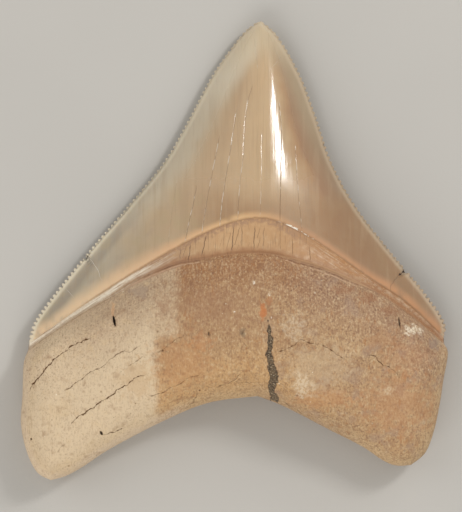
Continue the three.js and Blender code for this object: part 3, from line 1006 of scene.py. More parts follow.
@dataclass(frozen=True)
class Enameloid:
    """Fossil enameloid, the enamel of sharks: packed mineral fibres, grown hard and polished by use.

    It looks glassy and faintly see-through over the dentine. The thin left flank is grey-green, where little
    dentine lies behind it, and the thick middle is tan. Light gives the ridge a sharp white streak, and the
    worn lower flanks have only a satin sheen. Glints are painted in dashes along the drying cracks, where
    light would catch their far wall, and in a row along the margin right of the middle.
    """

    # The ground, by reach, and the welt along the enamel's margin, by x; the welt's colours are brightened with
    # painted light on its lit rise
    across: Stops = (
        ((-1.0, "#c3b8a2"), (-0.8, "#b8ab95"), (-0.55, "#b9a181"), (-0.3, "#ba9e7d"), (0.05, "#c7aa85"))
        + ((0.25, "#c5a883"), (0.4, "#b4906c"), (0.5, "#a38062"), (0.8, "#9a7c5f"), (1.0, "#a08468"))
    )
    welt: Stops = (
        ((-20.0, "#e8c8a0"), (-9.0, "#dbb086"), (0.0, "#dfb684"), (9.0, "#b98a61")) + ((20.0, "#c89264"),)
    )
    low_left: str = "#aa9d87"
    beside_crest: str = "#85786a"
    low_right: str = "#aa967b"
    blotch_green: str = "#b3a07c"
    blotch_brown: str = "#a8927f"
    thin_left: str = "#c5b69d"
    thin_high_left: str = "#d3c6ae"
    thin_right: str = "#b09d80"
    low_middle: str = "#9a7450"
    tip: str = "#cfbc9c"
    streak_dark: str = "#a48a6c"
    streak_light: str = "#c9b292"
    fibre: str = "#967b5f"
    # Painted shade on the welt's lower side, which faces away from the light
    shade_under_welt: str = "#94714f"
    # Paler on the left, partly painted light where the edge faces away from the light
    crest: Stops = ((-8.0, "#e3d6bb"), (12.0, "#c3ad90"))
    # Painted shade for the clefts between serrations
    cleft: str = "#85694d"
    crack: str = "#7d634b"
    open_crack: str = "#3f2d20"
    glint: str = "#f2ead8"

    drift_size: float = 4.0
    blotch_size: float = 2.4
    streak_size: Size = (0.9, 14.0, 6.0)  # growth streaks run up the crown
    # Real fibres are finer than a pixel, which is 0.14 mm, so these are as coarse as they need to show.
    fibre_size: Size = (0.24, 6.0, 4.0)
    crack_width: float = 0.035  # half of it
    open_crack_width: float = 0.04  # more, where a crack stands open
    gape_width: float = 0.07  # more again, at a chip in the edge
    gloss: float = 0.12
    satin: float = 0.44
    see_through: float = 0.12
    ior: float = 1.62  # fluorapatite

    def build(self) -> bpy.types.Material:
        """Make the material.

        Returns:
            The finished material.
        """
        s = Surface("fossil_enameloid")
        drift = s.noise(self.drift_size, 2.0)
        s.paint(1.0, s.gradient(s.measure("reach").moved(drift, 0.3), self.across))
        self._tint_flanks(s, drift)
        self._add_streaks(s)
        self._add_welt(s, drift)
        self._add_crest(s)
        self._add_cracks(s)
        self._paint_margin_glints(s)
        s.raise_by(s.noise(0.5, 3.0), 0.0025)
        s.shader.inputs["Subsurface Weight"].default_value = self.see_through
        s.shader.inputs["Subsurface Radius"].default_value = (1.2, 0.8, 0.5)
        s.shader.inputs["Subsurface Scale"].default_value = MM
        return s.finish(self._roughness(s, drift), self.ior)

    def _tint_flanks(self, s: Surface, drift: Value) -> None:
        """Shade the flanks, from the arms up to the tip.

        Args:
            s: The material.
            drift: Slow noise about 0.5 that keeps each change of tone uneven.
        """
        edge, left_blade = s.measure("to_rim"), s.x.step(0.0, -9.0)
        s.paint(s.y.step(2.0, -8.0, 0.5) * left_blade, self.low_left)
        strip = edge.moved(drift, 0.5).between(0.75, 2.1, 0.5)
        s.paint(strip * s.y.step(9.0, 1.0, 0.5) * left_blade, self.beside_crest)
        s.paint(s.measure("reach").step(0.5, 0.78, 0.65) * s.y.step(12.0, 2.0), self.low_right)
        blotches, low_down = s.noise(self.blotch_size, 3.0), s.y.step(14.0, 4.0)
        s.paint(blotches.step(0.5, 0.68, 0.35) * low_down, self.blotch_green)
        s.paint(blotches.step(0.46, 0.3, 0.3) * low_down, self.blotch_brown)
        left, right = s.x.step(4.0, 2.5), s.x.step(2.5, 4.0)
        s.paint(edge.moved(drift, 1.4).step(4.6, 1.2) * left * s.y.step(0.0, 12.0, 0.9), self.thin_left)
        s.paint(edge.moved(drift, 1.0).step(4.2, 2.2) * left * s.y.step(17.0, 24.0, 0.6), self.thin_high_left)
        s.paint(edge.moved(drift, 1.0).step(3.4, 0.8) * right * s.y.step(9.0, 20.0, 0.8), self.thin_right)
        height = s.y.moved(drift, 3.0)
        s.paint(height.step(10.5, 4.0, 0.72) * s.x.step(-8.0, -1.0), self.low_middle)
        s.paint(height.step(23.5, 31.0, 0.85), self.tip)

    def _add_streaks(self, s: Surface) -> None:
        """Add the growth streaks and the fibres, which run up the crown.

        Args:
            s: The material.
        """
        streaks, fibres = s.fibres(self.streak_size, 3.0), s.fibres(self.fibre_size, 2.0)
        s.paint(streaks.step(0.5, 0.7, 0.25) * s.y.step(26.0, 18.0), self.streak_dark)
        s.paint(streaks.step(0.48, 0.3, 0.15), self.streak_light)
        s.paint(fibres.step(0.52, 0.75, 0.16), self.fibre)
        s.raise_by(streaks, 0.012)
        s.raise_by(fibres, 0.011)

    def _ragged_margin(self, s: Surface) -> Value:
        """Return the distance from the enamel's margin, which wavers."""
        return s.measure("to_enamel_edge").moved(s.noise(0.7, 3.0), 0.3)

    def _add_welt(self, s: Surface, drift: Value) -> None:
        """Add the orange band along the enamel's margin, partly painted light on the welt's lit rise, and painted
        shade under the welt.

        Args:
            s: The material.
            drift: Slow noise about 0.5 that makes the orange band uneven.
        """
        # The band is 1 to 2 mm wide: broad on the arms, narrow in the middle and at the far left end. It is the
        # enamel's own orange, brightened as painted light where the welt rises toward the light.
        squeeze = s.x.step(-15.0, -3.0, 0.8) + s.x.step(-20.0, -27.0, 0.3) + 0.8 - s.x.step(15.0, 22.0, 0.3)
        orange_and_lit_band = (s.measure("to_enamel_edge") * squeeze).moved(drift, 1.0).step(1.9, 0.3)
        cloudy = s.fibres((1.6, 2.56, 1.6), 3.0).step(0.05, 0.5, 0.9)
        s.paint(orange_and_lit_band * cloudy, s.gradient(s.x, self.welt))
        # Painted shade: a brown line on the welt's lower side, which faces away from the light.
        s.paint(self._ragged_margin(s).step(0.34, 0.0, 0.7) * s.x.step(-25.0, -17.0), self.shade_under_welt)

    def _add_crest(self, s: Surface) -> None:
        """Lighten the cutting edge, where the blade is thinnest, with painted light that lifts the shaded left
        edge, and paint shade into the clefts between serrations.

        Args:
            s: The material.
        """
        edge = s.measure("to_rim")
        # Partly painted light: the crest is paler toward the left, where its edge is shaded.
        s.paint(edge.step(0.85, 0.35, 0.75), s.gradient(s.x, self.crest))
        # Painted shade in the clefts between serrations.
        s.paint(s.measure("cleft") * edge.step(0.35, 0.05, 0.6), self.cleft)

    def _add_cracks(self, s: Surface) -> None:
        """Add the drying cracks: dark lines that glint in dashes, and black ones where they stand open.

        Args:
            s: The material.
        """
        strength = s.measure("crack_strength")
        is_open = strength.step(1.02, 1.2)
        width = is_open * self.open_crack_width + strength.step(1.25, 1.6, self.gape_width) + self.crack_width
        line = s.crack_line(s.noise(1.6, 2.0), 0.22, width, 0.04)
        dashes = s.fibres((1.2, 1.5, 1.0), 2.0).step(0.47, 0.6, 0.8).larger(s.x.step(-14.0, -17.0, 0.8))
        lit = dashes * (1.0 - s.x.between(14.0, 30.0, 1.0))
        s.paint(line * 0.55, self.crack)
        s.paint(line * is_open, self.open_crack)
        s.paint(line * lit * (1.0 - is_open), self.glint)
        s.raise_by(line, -0.04)

    def _paint_margin_glints(self, s: Surface) -> None:
        """Paint glints along the margin, right of the middle, where the welt's edge catches the light, with one
        larger burst among them.

        Args:
            s: The material.
        """
        burst = s.x.between(7.4, 9.0, 0.7)
        margin_glints = (abs(self._ragged_margin(s)) - (burst * 0.16 + 0.1)).step(0.08, -0.08) * s.x.between(6.4, 10.6, 1.2)
        broken = s.noise(0.45, 3.0).moved(burst, 0.16).step(0.44, 0.54, 0.95)
        # Painted glints on the welt's edge.
        s.paint(margin_glints * broken, self.glint)

    def _roughness(self, s: Surface, drift: Value) -> Value:
        """Work out the gloss: high on the ridge, satin on the flanks and low down, and lightly scuffed.

        Args:
            s: The material.
            drift: Slow noise about 0.5 that makes the worn part uneven.

        Returns:
            The roughness.
        """
        worn = s.y.moved(drift, 4.0).step(12.5, 5.5, self.satin)
        flanks = abs(s.measure("reach")).step(0.36, 0.6, 0.26)
        return s.noise(2.0, 5.0).step(0.5, 0.8, 0.1) + worn.larger(flanks) + self.gloss


@dataclass(frozen=True)
class BareDentine:
    """Fossil dentine, bare at the neck where the enamel stops: grown in thin layers and worn smooth.

    It looks satin and tan, with mauve painted shade under the enamel's step, and fine dark drying cracks across
    it. On the arms its layers come to light as pale, fibrous lines, and painted light lies along the root's lip.
    """

    across: Stops = (
        ((-20.0, "#cdb89c"), (-9.0, "#b3906c"), (-2.0, "#c69f75"), (6.0, "#bd9469"), (12.0, "#b5865a"))
        + ((20.0, "#b27d4e"),)
    )
    streak: str = "#b08459"
    mottle: str = "#d3b48c"
    mauve: str = "#a58266"
    foot: str = "#a27653"
    lip: str = "#bd9b80"
    layer_light: str = "#eaddc7"
    layer_dark: str = "#a07b5b"
    edging: str = "#e0c8a6"
    fleck: str = "#d0ae86"
    crack: str = "#664a33"

    mottle_size: float = 0.8
    streak_size: Size = (0.45, 3.0, 2.0)
    hair_size: Size = (0.14, 2.6, 1.0)  # hairline cracks, drawn a pixel wide so that they show
    # Real layers are finer than a pixel, so these are as coarse as they need to show.
    layer_pitch: float = 1.0 / 6.0
    layer_length: float = 1.0 / 0.3
    satin: float = 0.42
    ior: float = 1.55

    def build(self) -> bpy.types.Material:
        """Make the material.

        Returns:
            The finished material.
        """
        s = Surface("fossil_dentine")
        enamel, root = s.measure("to_enamel_edge"), s.measure("to_root_edge")
        mottle = s.noise(self.mottle_size, 4.0)
        s.paint(1.0, s.gradient(s.x, self.across))
        s.paint(s.fibres(self.streak_size, 3.0).step(0.48, 0.75, 0.35), self.streak)
        s.paint(mottle.step(0.5, 0.3, 0.25), self.mottle)
        # Painted shade in mauve under the enamel's step, on the side that faces away from the light.
        mauve_shade_under_enamel = (enamel + s.x.step(3.0, 9.0, 0.6)).moved(mottle, 1.8).step(-1.0, -0.3, 0.85)
        ragged, middle = s.noise(0.45, 4.0).step(0.3, 0.55), s.x.step(-19.0, -10.0) * s.x.step(13.0, 6.0)
        s.paint(mauve_shade_under_enamel * ragged * middle, self.mauve)
        self._add_layers(s)
        s.paint(root.moved(mottle, 1.1).step(-1.3, -0.2, 0.85) * s.x.step(-17.0, -8.0), self.foot)
        # Painted light on the root's lip, which faces up toward the light.
        s.paint(root.step(0.1, 0.3) * 0.5, self.lip)
        MarginLine().trace(s)
        s.paint(s.noise(0.35, 4.0).step(0.54, 0.68, 0.55) * s.x.step(9.0, 14.0), self.fleck)
        self._add_cracks(s)
        s.raise_by(s.noise(0.35, 4.0), 0.02)
        return s.finish(mottle.step(0.3, 0.7, 0.2) + self.satin, self.ior)

    def _add_layers(self, s: Surface) -> None:
        """Add the thin growth layers that come to light on the arms.

        Args:
            s: The material.
        """
        root = s.measure("to_root_edge")
        links = {"X": s.x * (1.0 / self.layer_length), "Y": s.measure("to_enamel_edge") * (1.0 / self.layer_pitch)}
        along = Value(add_node(s.tree, "ShaderNodeCombineXYZ", {}, links).outputs["Vector"])
        layers = s.noise(1.0, 2.0, along)
        left = s.x.step(-5.5, -13.0)
        arms = left + s.x.step(8.0, 14.0, 0.65)
        crumbs = s.noise(0.4, 3.0).step(0.36, 0.56)
        s.paint(arms * s.noise(0.5, 3.0).step(0.55, 0.4, 0.35), self.mauve)
        s.paint(layers.step(0.5, 0.64, 0.5) * arms * crumbs, self.layer_light)
        # One white strip along the root's margin on the left arm, and a broken one on the right arm.
        strip = root.moved(s.noise(1.5, 3.0), 0.4).between(-0.98, -0.28, 0.2)
        worn_through = crumbs * 0.3 + layers.step(0.36, 0.56, 0.45) + 0.3
        s.paint(left * strip * worn_through, self.layer_light)
        s.paint(layers.step(0.42, 0.3, 0.6) * arms, self.layer_dark)
        strip = root.moved(s.noise(1.5, 3.0), 0.5).between(-0.85, -0.45, 0.15)
        s.paint(strip * s.x.step(14.0, 18.0, 0.75) * crumbs, self.edging)
        s.raise_by(layers * arms, 0.06)

    def _add_cracks(self, s: Surface) -> None:
        """Add the drying cracks that cross the band, and the hairlines between them.

        Args:
            s: The material.
        """
        hairs = s.fibres(self.hair_size, 1.0).step(0.6, 0.72, 0.36)
        s.paint(hairs * s.x.step(-8.0, -5.0) * s.x.step(13.0, 9.0), self.crack)
        line = s.crack_line(s.noise(0.7, 2.0), 0.3, 0.04, 0.05)
        s.paint(line * 0.85, self.crack)
        s.raise_by(line, -0.06)


@dataclass(frozen=True)
class Sediment:
    """Grey-brown mud with pale grit, set hard in the root's split. It looks rough and dead matt."""

    mud: str = "#705c44"
    dark: str = "#3f3328"
    grit: str = "#b8a588"
    lips: str = "#43352a"
    grit_size: float = 0.2

    def fill(self, s: Surface, grain: Value) -> None:
        """Fill the split, with a dark line along its lips.

        Args:
            s: The root's material.
            grain: Fine noise about 0.5.
        """
        depth = s.measure("split").moved(s.noise(0.4, 3.0), 0.3)
        inside = depth.step(-0.05, 0.07)
        s.paint(inside, self.mud)
        s.paint(inside * grain.step(0.46, 0.6, 0.75), self.dark)
        s.paint(inside * s.noise(self.grit_size, 2.0).step(0.55, 0.68, 0.8), self.grit)
        s.paint(depth.between(-0.05, 0.08, 0.06) * 0.5, self.lips)
        s.raise_by(inside * grain, 0.12)


@dataclass(frozen=True)
class RootBone:
    """Fossil root: porous, bone-like dentine, hardened to stone. It is matt, finely grained and cracked.

    Mud stained it brown under the neck and rusty on the right. Its left third is bleached to cream, with a
    sharp boundary, and chalky crust clings to it in a few places.
    """

    from_margin: Stops = (
        (0.0, "#a3764f"),
        (2.2, "#a3764f"),
        (6.0, "#b18c65"),
        (11.0, "#b18c65"),
        (16.0, "#c9a06f"),
        (20.0, "#c9a06f"),
    )
    right: str = "#b8946c"
    cream: str = "#dcc6a5"
    cream_shade: str = "#a98e72"
    flushed: str = "#9a7964"
    light: str = "#d2b58a"
    dark: str = "#94704f"
    foot_shade: str = "#94745a"
    painted_rim_sheen: str = "#dfc8ac"
    hair_dark: str = "#7b5a45"
    hair_light: str = "#cfb291"
    grain_dark: str = "#836048"
    grain_light: str = "#cfae85"
    crumb_dark: str = "#775440"
    crumb_light: str = "#dcc49f"
    reddish: str = "#8e6549"
    rust: str = "#a8713f"
    right_patch: str = "#a68a75"
    right_grain_dark: str = "#6f5340"
    right_grain_light: str = "#dcc3a0"
    above_margin: Stops = ((4.0, "#b58c66"), (20.0, "#bd9670"))
    pore: str = "#5f4732"
    pale_grain: str = "#efe4cd"
    crack: str = "#5c3a13"
    pit: str = "#3a2a1d"

    stains: tuple[Stain, ...] = (
        Stain(3.85, -8.3, 0.9, 1.9, "#c2733c", 0.75),  # two orange spots at the head of the split
        Stain(4.6, -6.8, 0.9, 1.1, "#bd7c4a", 0.4),
        Stain(1.1, -11.2, 1.1, 1.4, "#857159", 0.6),
        Stain(-4.6, -12.6, 3.0, 2.4, "#bb7f50", 0.35),
        Stain(12.0, -20.3, 8.0, 2.6, "#c08a5c", 0.45),
        Stain(23.5, -14.5, 6.0, 5.0, "#b9835b", 0.25),
        Stain(22.5, -21.0, 10.0, 8.0, "#b78459", 0.45),
        Stain(11.5, -16.0, 9.0, 6.0, "#c6ad8c", 0.4),
        Stain(-4.0, -7.5, 13.0, 6.0, "#9c7355", 0.4),
        Stain(-7.0, -15.5, 8.0, 7.0, "#c08c5c", 0.4),
        Stain(-16.6, -8.0, 0.45, 1.7, "#cf9f72", 0.55),
        Stain(-13.4, -17.6, 4.6, 5.0, "#c7a780", 0.45),
        Stain(-13.0, -5.6, 3.0, 1.6, "#a08a78", 0.5),
        Stain(27.4, -12.8, 1.6, 1.7, "#8f7d72", 0.5),
        Stain(14.8, -5.4, 2.8, 1.3, "#96623e", 0.4),  # a brown trail under the right arm's margin
        Stain(18.0, -6.6, 2.8, 1.4, "#96623e", 0.5),
        Stain(21.2, -8.3, 2.6, 1.3, "#9a6743", 0.4),
        Stain(20.0, -12.3, 4.5, 3.0, "#b07f55", 0.35),
    )
    chalks: tuple[Stain, ...] = (
        Stain(24.3, -11.0, 2.3, 1.4, "#eadabf", 0.85),
        # The next five tiny specks are white crystals, painted as bright as their glints.
        Stain(2.6, -4.5, 0.36, 0.5, "#efe2cc", 0.8),
        Stain(4.7, -6.0, 0.34, 0.46, "#efe2cc", 0.75),
        Stain(5.0, -9.2, 0.3, 0.5, "#efe2cc", 0.75),
        Stain(6.6, -8.8, 0.36, 0.3, "#efe2cc", 0.6),
        Stain(0.0, -8.4, 0.26, 0.26, "#f3e8d4", 0.8),
        Stain(9.4, -18.3, 2.8, 3.0, "#e3cfb0", 0.6),
        Stain(8.3, -10.6, 3.0, 3.6, "#d8c6aa", 0.35),
        Stain(20.9, -19.2, 2.2, 1.2, "#e0cba9", 0.45),
    )

    cloud_size: float = 5.0
    mottle_size: float = 1.3
    grain_size: float = 0.26  # real grain is finer than a pixel, so this is two pixels
    crumb_size: Size = (0.25, 0.45, 0.3)  # coarse enough to show, at two to three pixels
    hair_size: Size = (0.2, 1.5, 1.0)  # fine fibres that run down from the neck
    fleck_size: Size = (0.16, 1.1, 1.0)
    rust_size: Size = (0.4, 1.3, 1.0)
    pore_pitch: float = 0.8
    pale_grain_pitch: float = 1.3
    crack_width: float = 0.09  # half of it, at its widest
    matt: float = 0.72
    ior: float = 1.55

    def build(self) -> bpy.types.Material:
        """Make the material.

        Returns:
            The finished material.
        """
        s = Surface("fossil_root_dentine")
        margin, grain = s.measure("to_root_edge"), s.noise(self.grain_size, 2.0)
        clouds, mottle = s.noise(self.cloud_size, 3.0), s.noise(self.mottle_size, 4.0)
        pale = self._bleached(s, mottle)
        self._lay_ground(s, pale, clouds)
        s.paint(clouds.step(0.55, 0.72, 0.3), self.light)
        s.paint(mottle.step(0.55, 0.75, 0.4), self.dark)
        s.paint(mottle.step(0.47, 0.3, 0.3), self.light)
        self._add_grain(s, pale, grain)
        self._weather(s, pale, clouds, grain)
        for stain in self.stains:
            s.paint(stain.share(s, s.noise(0.7, 5.0)), stain.code)
        for chalk in self.chalks:
            crumbly = s.noise(0.35, 3.0).step(0.42, 0.56) * 0.8 + 0.2
            s.paint(chalk.share(s, s.noise(0.9, 4.0)) * crumbly, chalk.code)
        self._add_pores(s)
        s.paint(margin.step(0.1, -0.1), s.gradient(s.x, self.above_margin))
        MarginLine().trace(s)
        width = s.noise(0.6, 2.0).step(0.35, 0.7, self.crack_width) + pale * 0.016
        line = s.crack_line(s.noise(0.9, 4.0), 0.7, width, 0.055)
        s.paint(line, self.crack)
        Sediment().fill(s, grain)
        # Painted shade: the pits darken as they sink.
        s.paint(s.measure("sunk").step(0.12, 0.3, 0.92), self.pit)
        s.raise_by(line, -0.06)
        s.raise_by(s.noise(0.24, 3.0), 0.035)
        s.raise_by(mottle, 0.03)
        return s.finish(self.matt, self.ior)

    def _bleached(self, s: Surface, mottle: Value) -> Value:
        """Work out where the root is bleached.

        Args:
            s: The material.
            mottle: Noise about 0.5 that makes the boundary uneven.

        Returns:
            The share of the bleaching. It ends in two sharp steps, and reaches further under the neck.
        """
        step = s.x.moved(mottle, 1.4).moved(s.noise(0.3, 2.0), 0.5)
        under_neck = step.step(-6.9, -8.7) * s.y.moved(mottle, 2.0).step(-12.8, -10.8, 0.6)
        return step.step(-9.8, -11.3, 0.88).larger(under_neck)

    def _lay_ground(self, s: Surface, pale: Value, clouds: Value) -> None:
        """Lay the root's broad tones, from the margin down to the foot.

        Args:
            s: The material.
            pale: Where the root is bleached.
            clouds: Slow noise about 0.5.
        """
        margin, edge = s.measure("to_root_edge"), s.measure("to_rim")
        s.paint(1.0, s.gradient(margin.moved(clouds, 5.0), self.from_margin))
        s.paint(s.x.moved(clouds, 8.0).step(7.0, 16.0, 0.8), self.right)
        s.paint(pale, self.cream)
        near = margin.moved(clouds, 4.0)
        s.paint(pale * near.step(9.0, 1.5, 0.85) * s.x.step(-26.0, -16.0), self.cream_shade)
        s.paint(near.step(8.0, 2.0, 0.4) * s.x.step(6.0, 12.0), self.flushed)
        # Painted light: the rim is lightened where the root's surface curves down toward it.
        s.paint(edge.step(2.4, 0.3, 0.5), self.light)
        s.paint(edge.step(2.4, 0.5, 0.4) * s.x.between(3.0, 16.0, 2.0), self.foot_shade)
        # Painted sheen along the rim on the left, where its rounding catches the light.
        s.paint(edge.step(1.6, 0.5, 0.6) * s.x.step(-5.0, -9.0), self.painted_rim_sheen)

    def _add_grain(self, s: Surface, pale: Value, grain: Value) -> None:
        """Add the fibres, grain and crumbs, which show most near the neck and least where it is bleached.

        Args:
            s: The material.
            pale: Where the root is bleached.
            grain: Fine noise about 0.5.
        """
        margin = s.measure("to_root_edge")
        hairs, stained = s.fibres(self.hair_size, 2.0), margin.step(9.0, 3.0, 0.25)
        near = (margin.step(7.0, 1.0, 0.28) + 0.12) * (1.0 - pale * 0.4)
        s.paint(hairs.step(0.52, 0.7) * near, self.hair_dark)
        s.paint(hairs.step(0.46, 0.3) * near, self.hair_light)
        s.paint(grain.step(0.52, 0.74) * (stained + 0.34), self.grain_dark)
        s.paint(grain.step(0.48, 0.26) * (stained + 0.2), self.grain_light)
        crumb = s.fibres(self.crumb_size, 4.0)
        s.paint(crumb.step(0.54, 0.68) * (0.46 - pale * 0.33), self.crumb_dark)
        s.paint(crumb.step(0.46, 0.32, 0.4), self.crumb_light)

    def _weather(self, s: Surface, pale: Value, clouds: Value, grain: Value) -> None:
        """Add reddish and rusty weathering, which spares the bleached part, and coarser tones on the right.

        Args:
            s: The material.
            pale: Where the root is bleached.
            clouds: Slow noise about 0.5.
            grain: Fine noise about 0.5.
        """
        s.paint(s.noise(0.9, 5.0).step(0.52, 0.66, 0.4) * (1.0 - pale), self.reddish)
        s.paint(s.fibres(self.fleck_size, 2.0).step(0.54, 0.7, 0.42) * (1.0 - pale * 0.65), self.dark)
        right = s.x.step(2.0, 8.0)
        s.paint(s.noise(2.4, 4.0).step(0.52, 0.68, 0.45) * right, self.right_patch)
        rusty = s.fibres(self.rust_size, 4.0).step(0.56, 0.7, 0.5) * clouds.step(0.42, 0.56)
        s.paint(rusty * (1.0 - pale), self.rust)
        s.paint(grain.step(0.56, 0.72, 0.4) * right, self.right_grain_dark)
        s.paint(grain.step(0.42, 0.26, 0.26) * right, self.right_grain_light)

    def _add_pores(self, s: Surface) -> None:
        """Add fine dark pores, which run together here and there, and a few pale grains.

        Args:
            s: The material.
        """
        for pitch, code, low, high, share in (
            (self.pore_pitch, self.pore, 0.12, 0.06, 0.5),
            (self.pale_grain_pitch, self.pale_grain, 0.08, 0.04, 0.8),
        ):
            links = {"Vector": s.place, "Scale": (1.0 / pitch, 1.0 / (pitch * 1.3), 1.0 / pitch)}
            where = Value(add_node(s.tree, "ShaderNodeMapping", {}, links).outputs["Vector"])
            cells = add_node(s.tree, "ShaderNodeTexVoronoi", {"feature": "F1"}, {"Vector": where, "Scale": 1.0})
            some = s.noise(pitch * 2.5, 1.0).step(0.56, 0.64, share)
            s.paint(Value(cells.outputs["Distance"]).step(low, high) * some, code)


# The tooth


def deselect_all() -> None:
    """Leave no object selected, whatever was loaded before."""
    bpy.ops.object.select_all(action="DESELECT")


@dataclass
class Tooth:
    """The fossil tooth, one closed skin over crown, bare band and root."""

    form: ToothForm = field(default_factory=ToothForm)
    wear: Wear = field(default_factory=Wear)
    inner_columns: int = 192
    outer_columns: int = 64
    rows: tuple[int, int, int] = (124, 72, 84)  # in the crown, round the band, and in the root
    band_levels: tuple[float, float] = (0.585, 0.675)
    inner_rim_columns: int = 3  # columns at each rim that are cut finer, for the serrations
    outer_rim_columns: int = 1
    rim_cuts: int = 3
    damage_cuts: int = 2  # round the pits and along the split
    lip_margin: float = 0.45
    pit_margin: float = 0.35
    column_crowding: float = 1.15  # more than 1 draws the columns together at the rims
    serration_depth: float = 0.42
    crest_inset: float = 0.7
    serration_reach: float = 0.42  # how far in from the rim a serration goes
    edge_band: float = 2.2  # how far in from the rim the cuts reach
    shoulder_fade: float = 1.6
    tip_fade: float = 1.2
    nick_reach: float = 1.9
    cleft_depth: float = 0.04
    cleft_inset: float = 0.28
    cleft_width: float = 0.26
    welt_height: float = 0.16
    welt_width: float = 0.9
    hollow_depth: float = 0.05  # the dip above the welt
    hollow_inset: float = 3.0
    hollow_width: float = 1.4
    enamel_step: float = 0.18
    groove_depth: float = 0.28
    groove_width: float = 0.55
    groove_shift: float = 0.5  # how far it runs above the root's margin on the left, and below on the right
    lip_height: float = 0.09
    lip_shift: float = 0.5
    lip_width: float = 0.26
    lump_height: float = 0.08
    outer_step: float = 0.12

    def build(self) -> bpy.types.Object:
        """Make the tooth.

        Returns:
            The finished piece, its place in its mesh.
        """
        materials = (Enameloid().build(), BareDentine().build(), RootBone().build())
        inner = self._lay_sheet(Face.INNER, self.inner_columns, materials)
        outer = self._lay_sheet(Face.OUTER, self.outer_columns, materials)
        self._draw_on(inner, Face.INNER)
        self._draw_on(outer, Face.OUTER)
        tooth = self._close(inner, outer)
        LOG.info("tooth: %d faces", len(tooth.data.polygons))
        return tooth

    # Laying out the flat sheets

    def _lay_sheet(
        self, face: Face, columns: int, materials: tuple[bpy.types.Material, ...]
    ) -> bpy.types.Object:
        """Lay out a face flat, finer where its detail is fine.

        Args:
            face: Which face it is for.
            columns: How many columns it has.
            materials: The tooth's finishes, in the order of Zone.

        Returns:
            The flat sheet, 2 wide and 2 high, with the tip at its top.
        """
        deselect_all()
        bpy.ops.mesh.primitive_grid_add(x_subdivisions=columns, y_subdivisions=sum(self.rows), size=2.0)
        sheet = bpy.context.object
        sheet.name = f"{face.value}_face"
        for material in materials:
            sheet.data.materials.append(material)
        centres = self._centres(sheet)
        _, level = self._unfold(centres)
        rim_columns = self.inner_rim_columns if face is Face.INNER else self.outer_rim_columns
        near_rim = np.abs(centres[:, 0]) > 1.0 - 2.0 * rim_columns / columns
        self._subdivide(sheet, near_rim & (level < ENAMEL), self.rim_cuts)
        if face is Face.INNER:
            self._subdivide(sheet, self._fine_places(sheet), self.damage_cuts)
        else:
            self._match_foot(sheet)
        self._assign_zones(sheet, face)
        return sheet

    def _centres(self, sheet: bpy.types.Object) -> np.ndarray:
        """Find the middle of each face.

        Args:
            sheet: The flat sheet.

        Returns:
            An x and a y for each face.
        """
        centres = np.empty(len(sheet.data.polygons) * 3)
        sheet.data.polygons.foreach_get("center", centres)
        return centres.reshape(-1, 3)[:, :2]

    def _unfold(self, flat: np.ndarray) -> tuple[np.ndarray, np.ndarray]:
        """Turn places on the flat sheet into reaches and levels.

        Args:
            flat: An x and a y for each place.

        Returns:
            Their reaches, and their levels.
        """
        crown, band, root = self.rows
        total = crown + band + root
        shares = (0.0, crown / total, (crown + band) / total, 1.0)
        level = np.interp((1.0 - flat[:, 1]) / 2.0, shares, (TIP, *self.band_levels, FOOT))
        reach = np.sign(flat[:, 0]) * (1.0 - (1.0 - np.minimum(np.abs(flat[:, 0]), 1.0)) ** self.column_crowding)
        return reach, level

    def _subdivide(self, sheet: bpy.types.Object, chosen: np.ndarray, cuts: int) -> None:
        """Cut the chosen faces of a sheet into smaller ones.

        Args:
            sheet: The flat sheet.
            chosen: Which of its faces to cut.
            cuts: How many cuts each edge gets.
        """
        deselect_all()
        sheet.select_set(True)
        bpy.context.view_layer.objects.active = sheet
        bpy.context.tool_settings.mesh_select_mode = (False, False, True)
        bpy.ops.object.mode_set(mode="EDIT")
        bpy.ops.mesh.select_all(action="DESELECT")
        bpy.ops.object.mode_set(mode="OBJECT")
        sheet.data.polygons.foreach_set("select", chosen)
        bpy.ops.object.mode_set(mode="EDIT")
        bpy.ops.mesh.subdivide(number_cuts=cuts)
        bpy.ops.object.mode_set(mode="OBJECT")

    def _fine_places(self, sheet: bpy.types.Object) -> np.ndarray:
        """Find the faces that hold a pit or the lips of the split.

        Args:
            sheet: The inner face's flat sheet.

        Returns:
            Whether each face does.
        """
        reach, level = self._unfold(self._centres(sheet))
        place = self.form.plan(reach, level)
        fine = np.abs(self.wear.split_field(place)) < self.lip_margin
        for pit in INNER_PITS:
            fine |= np.hypot(place[:, 0] - pit.x, place[:, 1] - pit.y) < pit.length / 2.0 + self.pit_margin
        return fine & (level > ROOT) & (level < FOOT - 0.003)

    def _match_foot(self, sheet: bpy.types.Object) -> None:
        """Cut the foot of the outer sheet into as many edges as the inner one has.

        Args:
            sheet: The outer face's flat sheet.
        """
        mesh = sheet.data
        ends = np.empty(len(mesh.edges) * 2, dtype=int)
        mesh.edges.foreach_get("vertices", ends)
        places = np.empty(len(mesh.vertices) * 3)
        mesh.vertices.foreach_get("co", places)
        at_foot = (places.reshape(-1, 3)[:, 1] < -1.0 + 1e-6)[ends.reshape(-1, 2)].all(1)
        bpy.context.tool_settings.mesh_select_mode = (False, True, False)
        bpy.ops.object.mode_set(mode="EDIT")
        bpy.ops.mesh.select_all(action="DESELECT")
        bpy.ops.object.mode_set(mode="OBJECT")
        mesh.edges.foreach_set("select", at_foot)
        bpy.ops.object.mode_set(mode="EDIT")
        bpy.ops.mesh.subdivide(number_cuts=self.inner_columns // self.outer_columns - 1)
        bpy.ops.object.mode_set(mode="OBJECT")

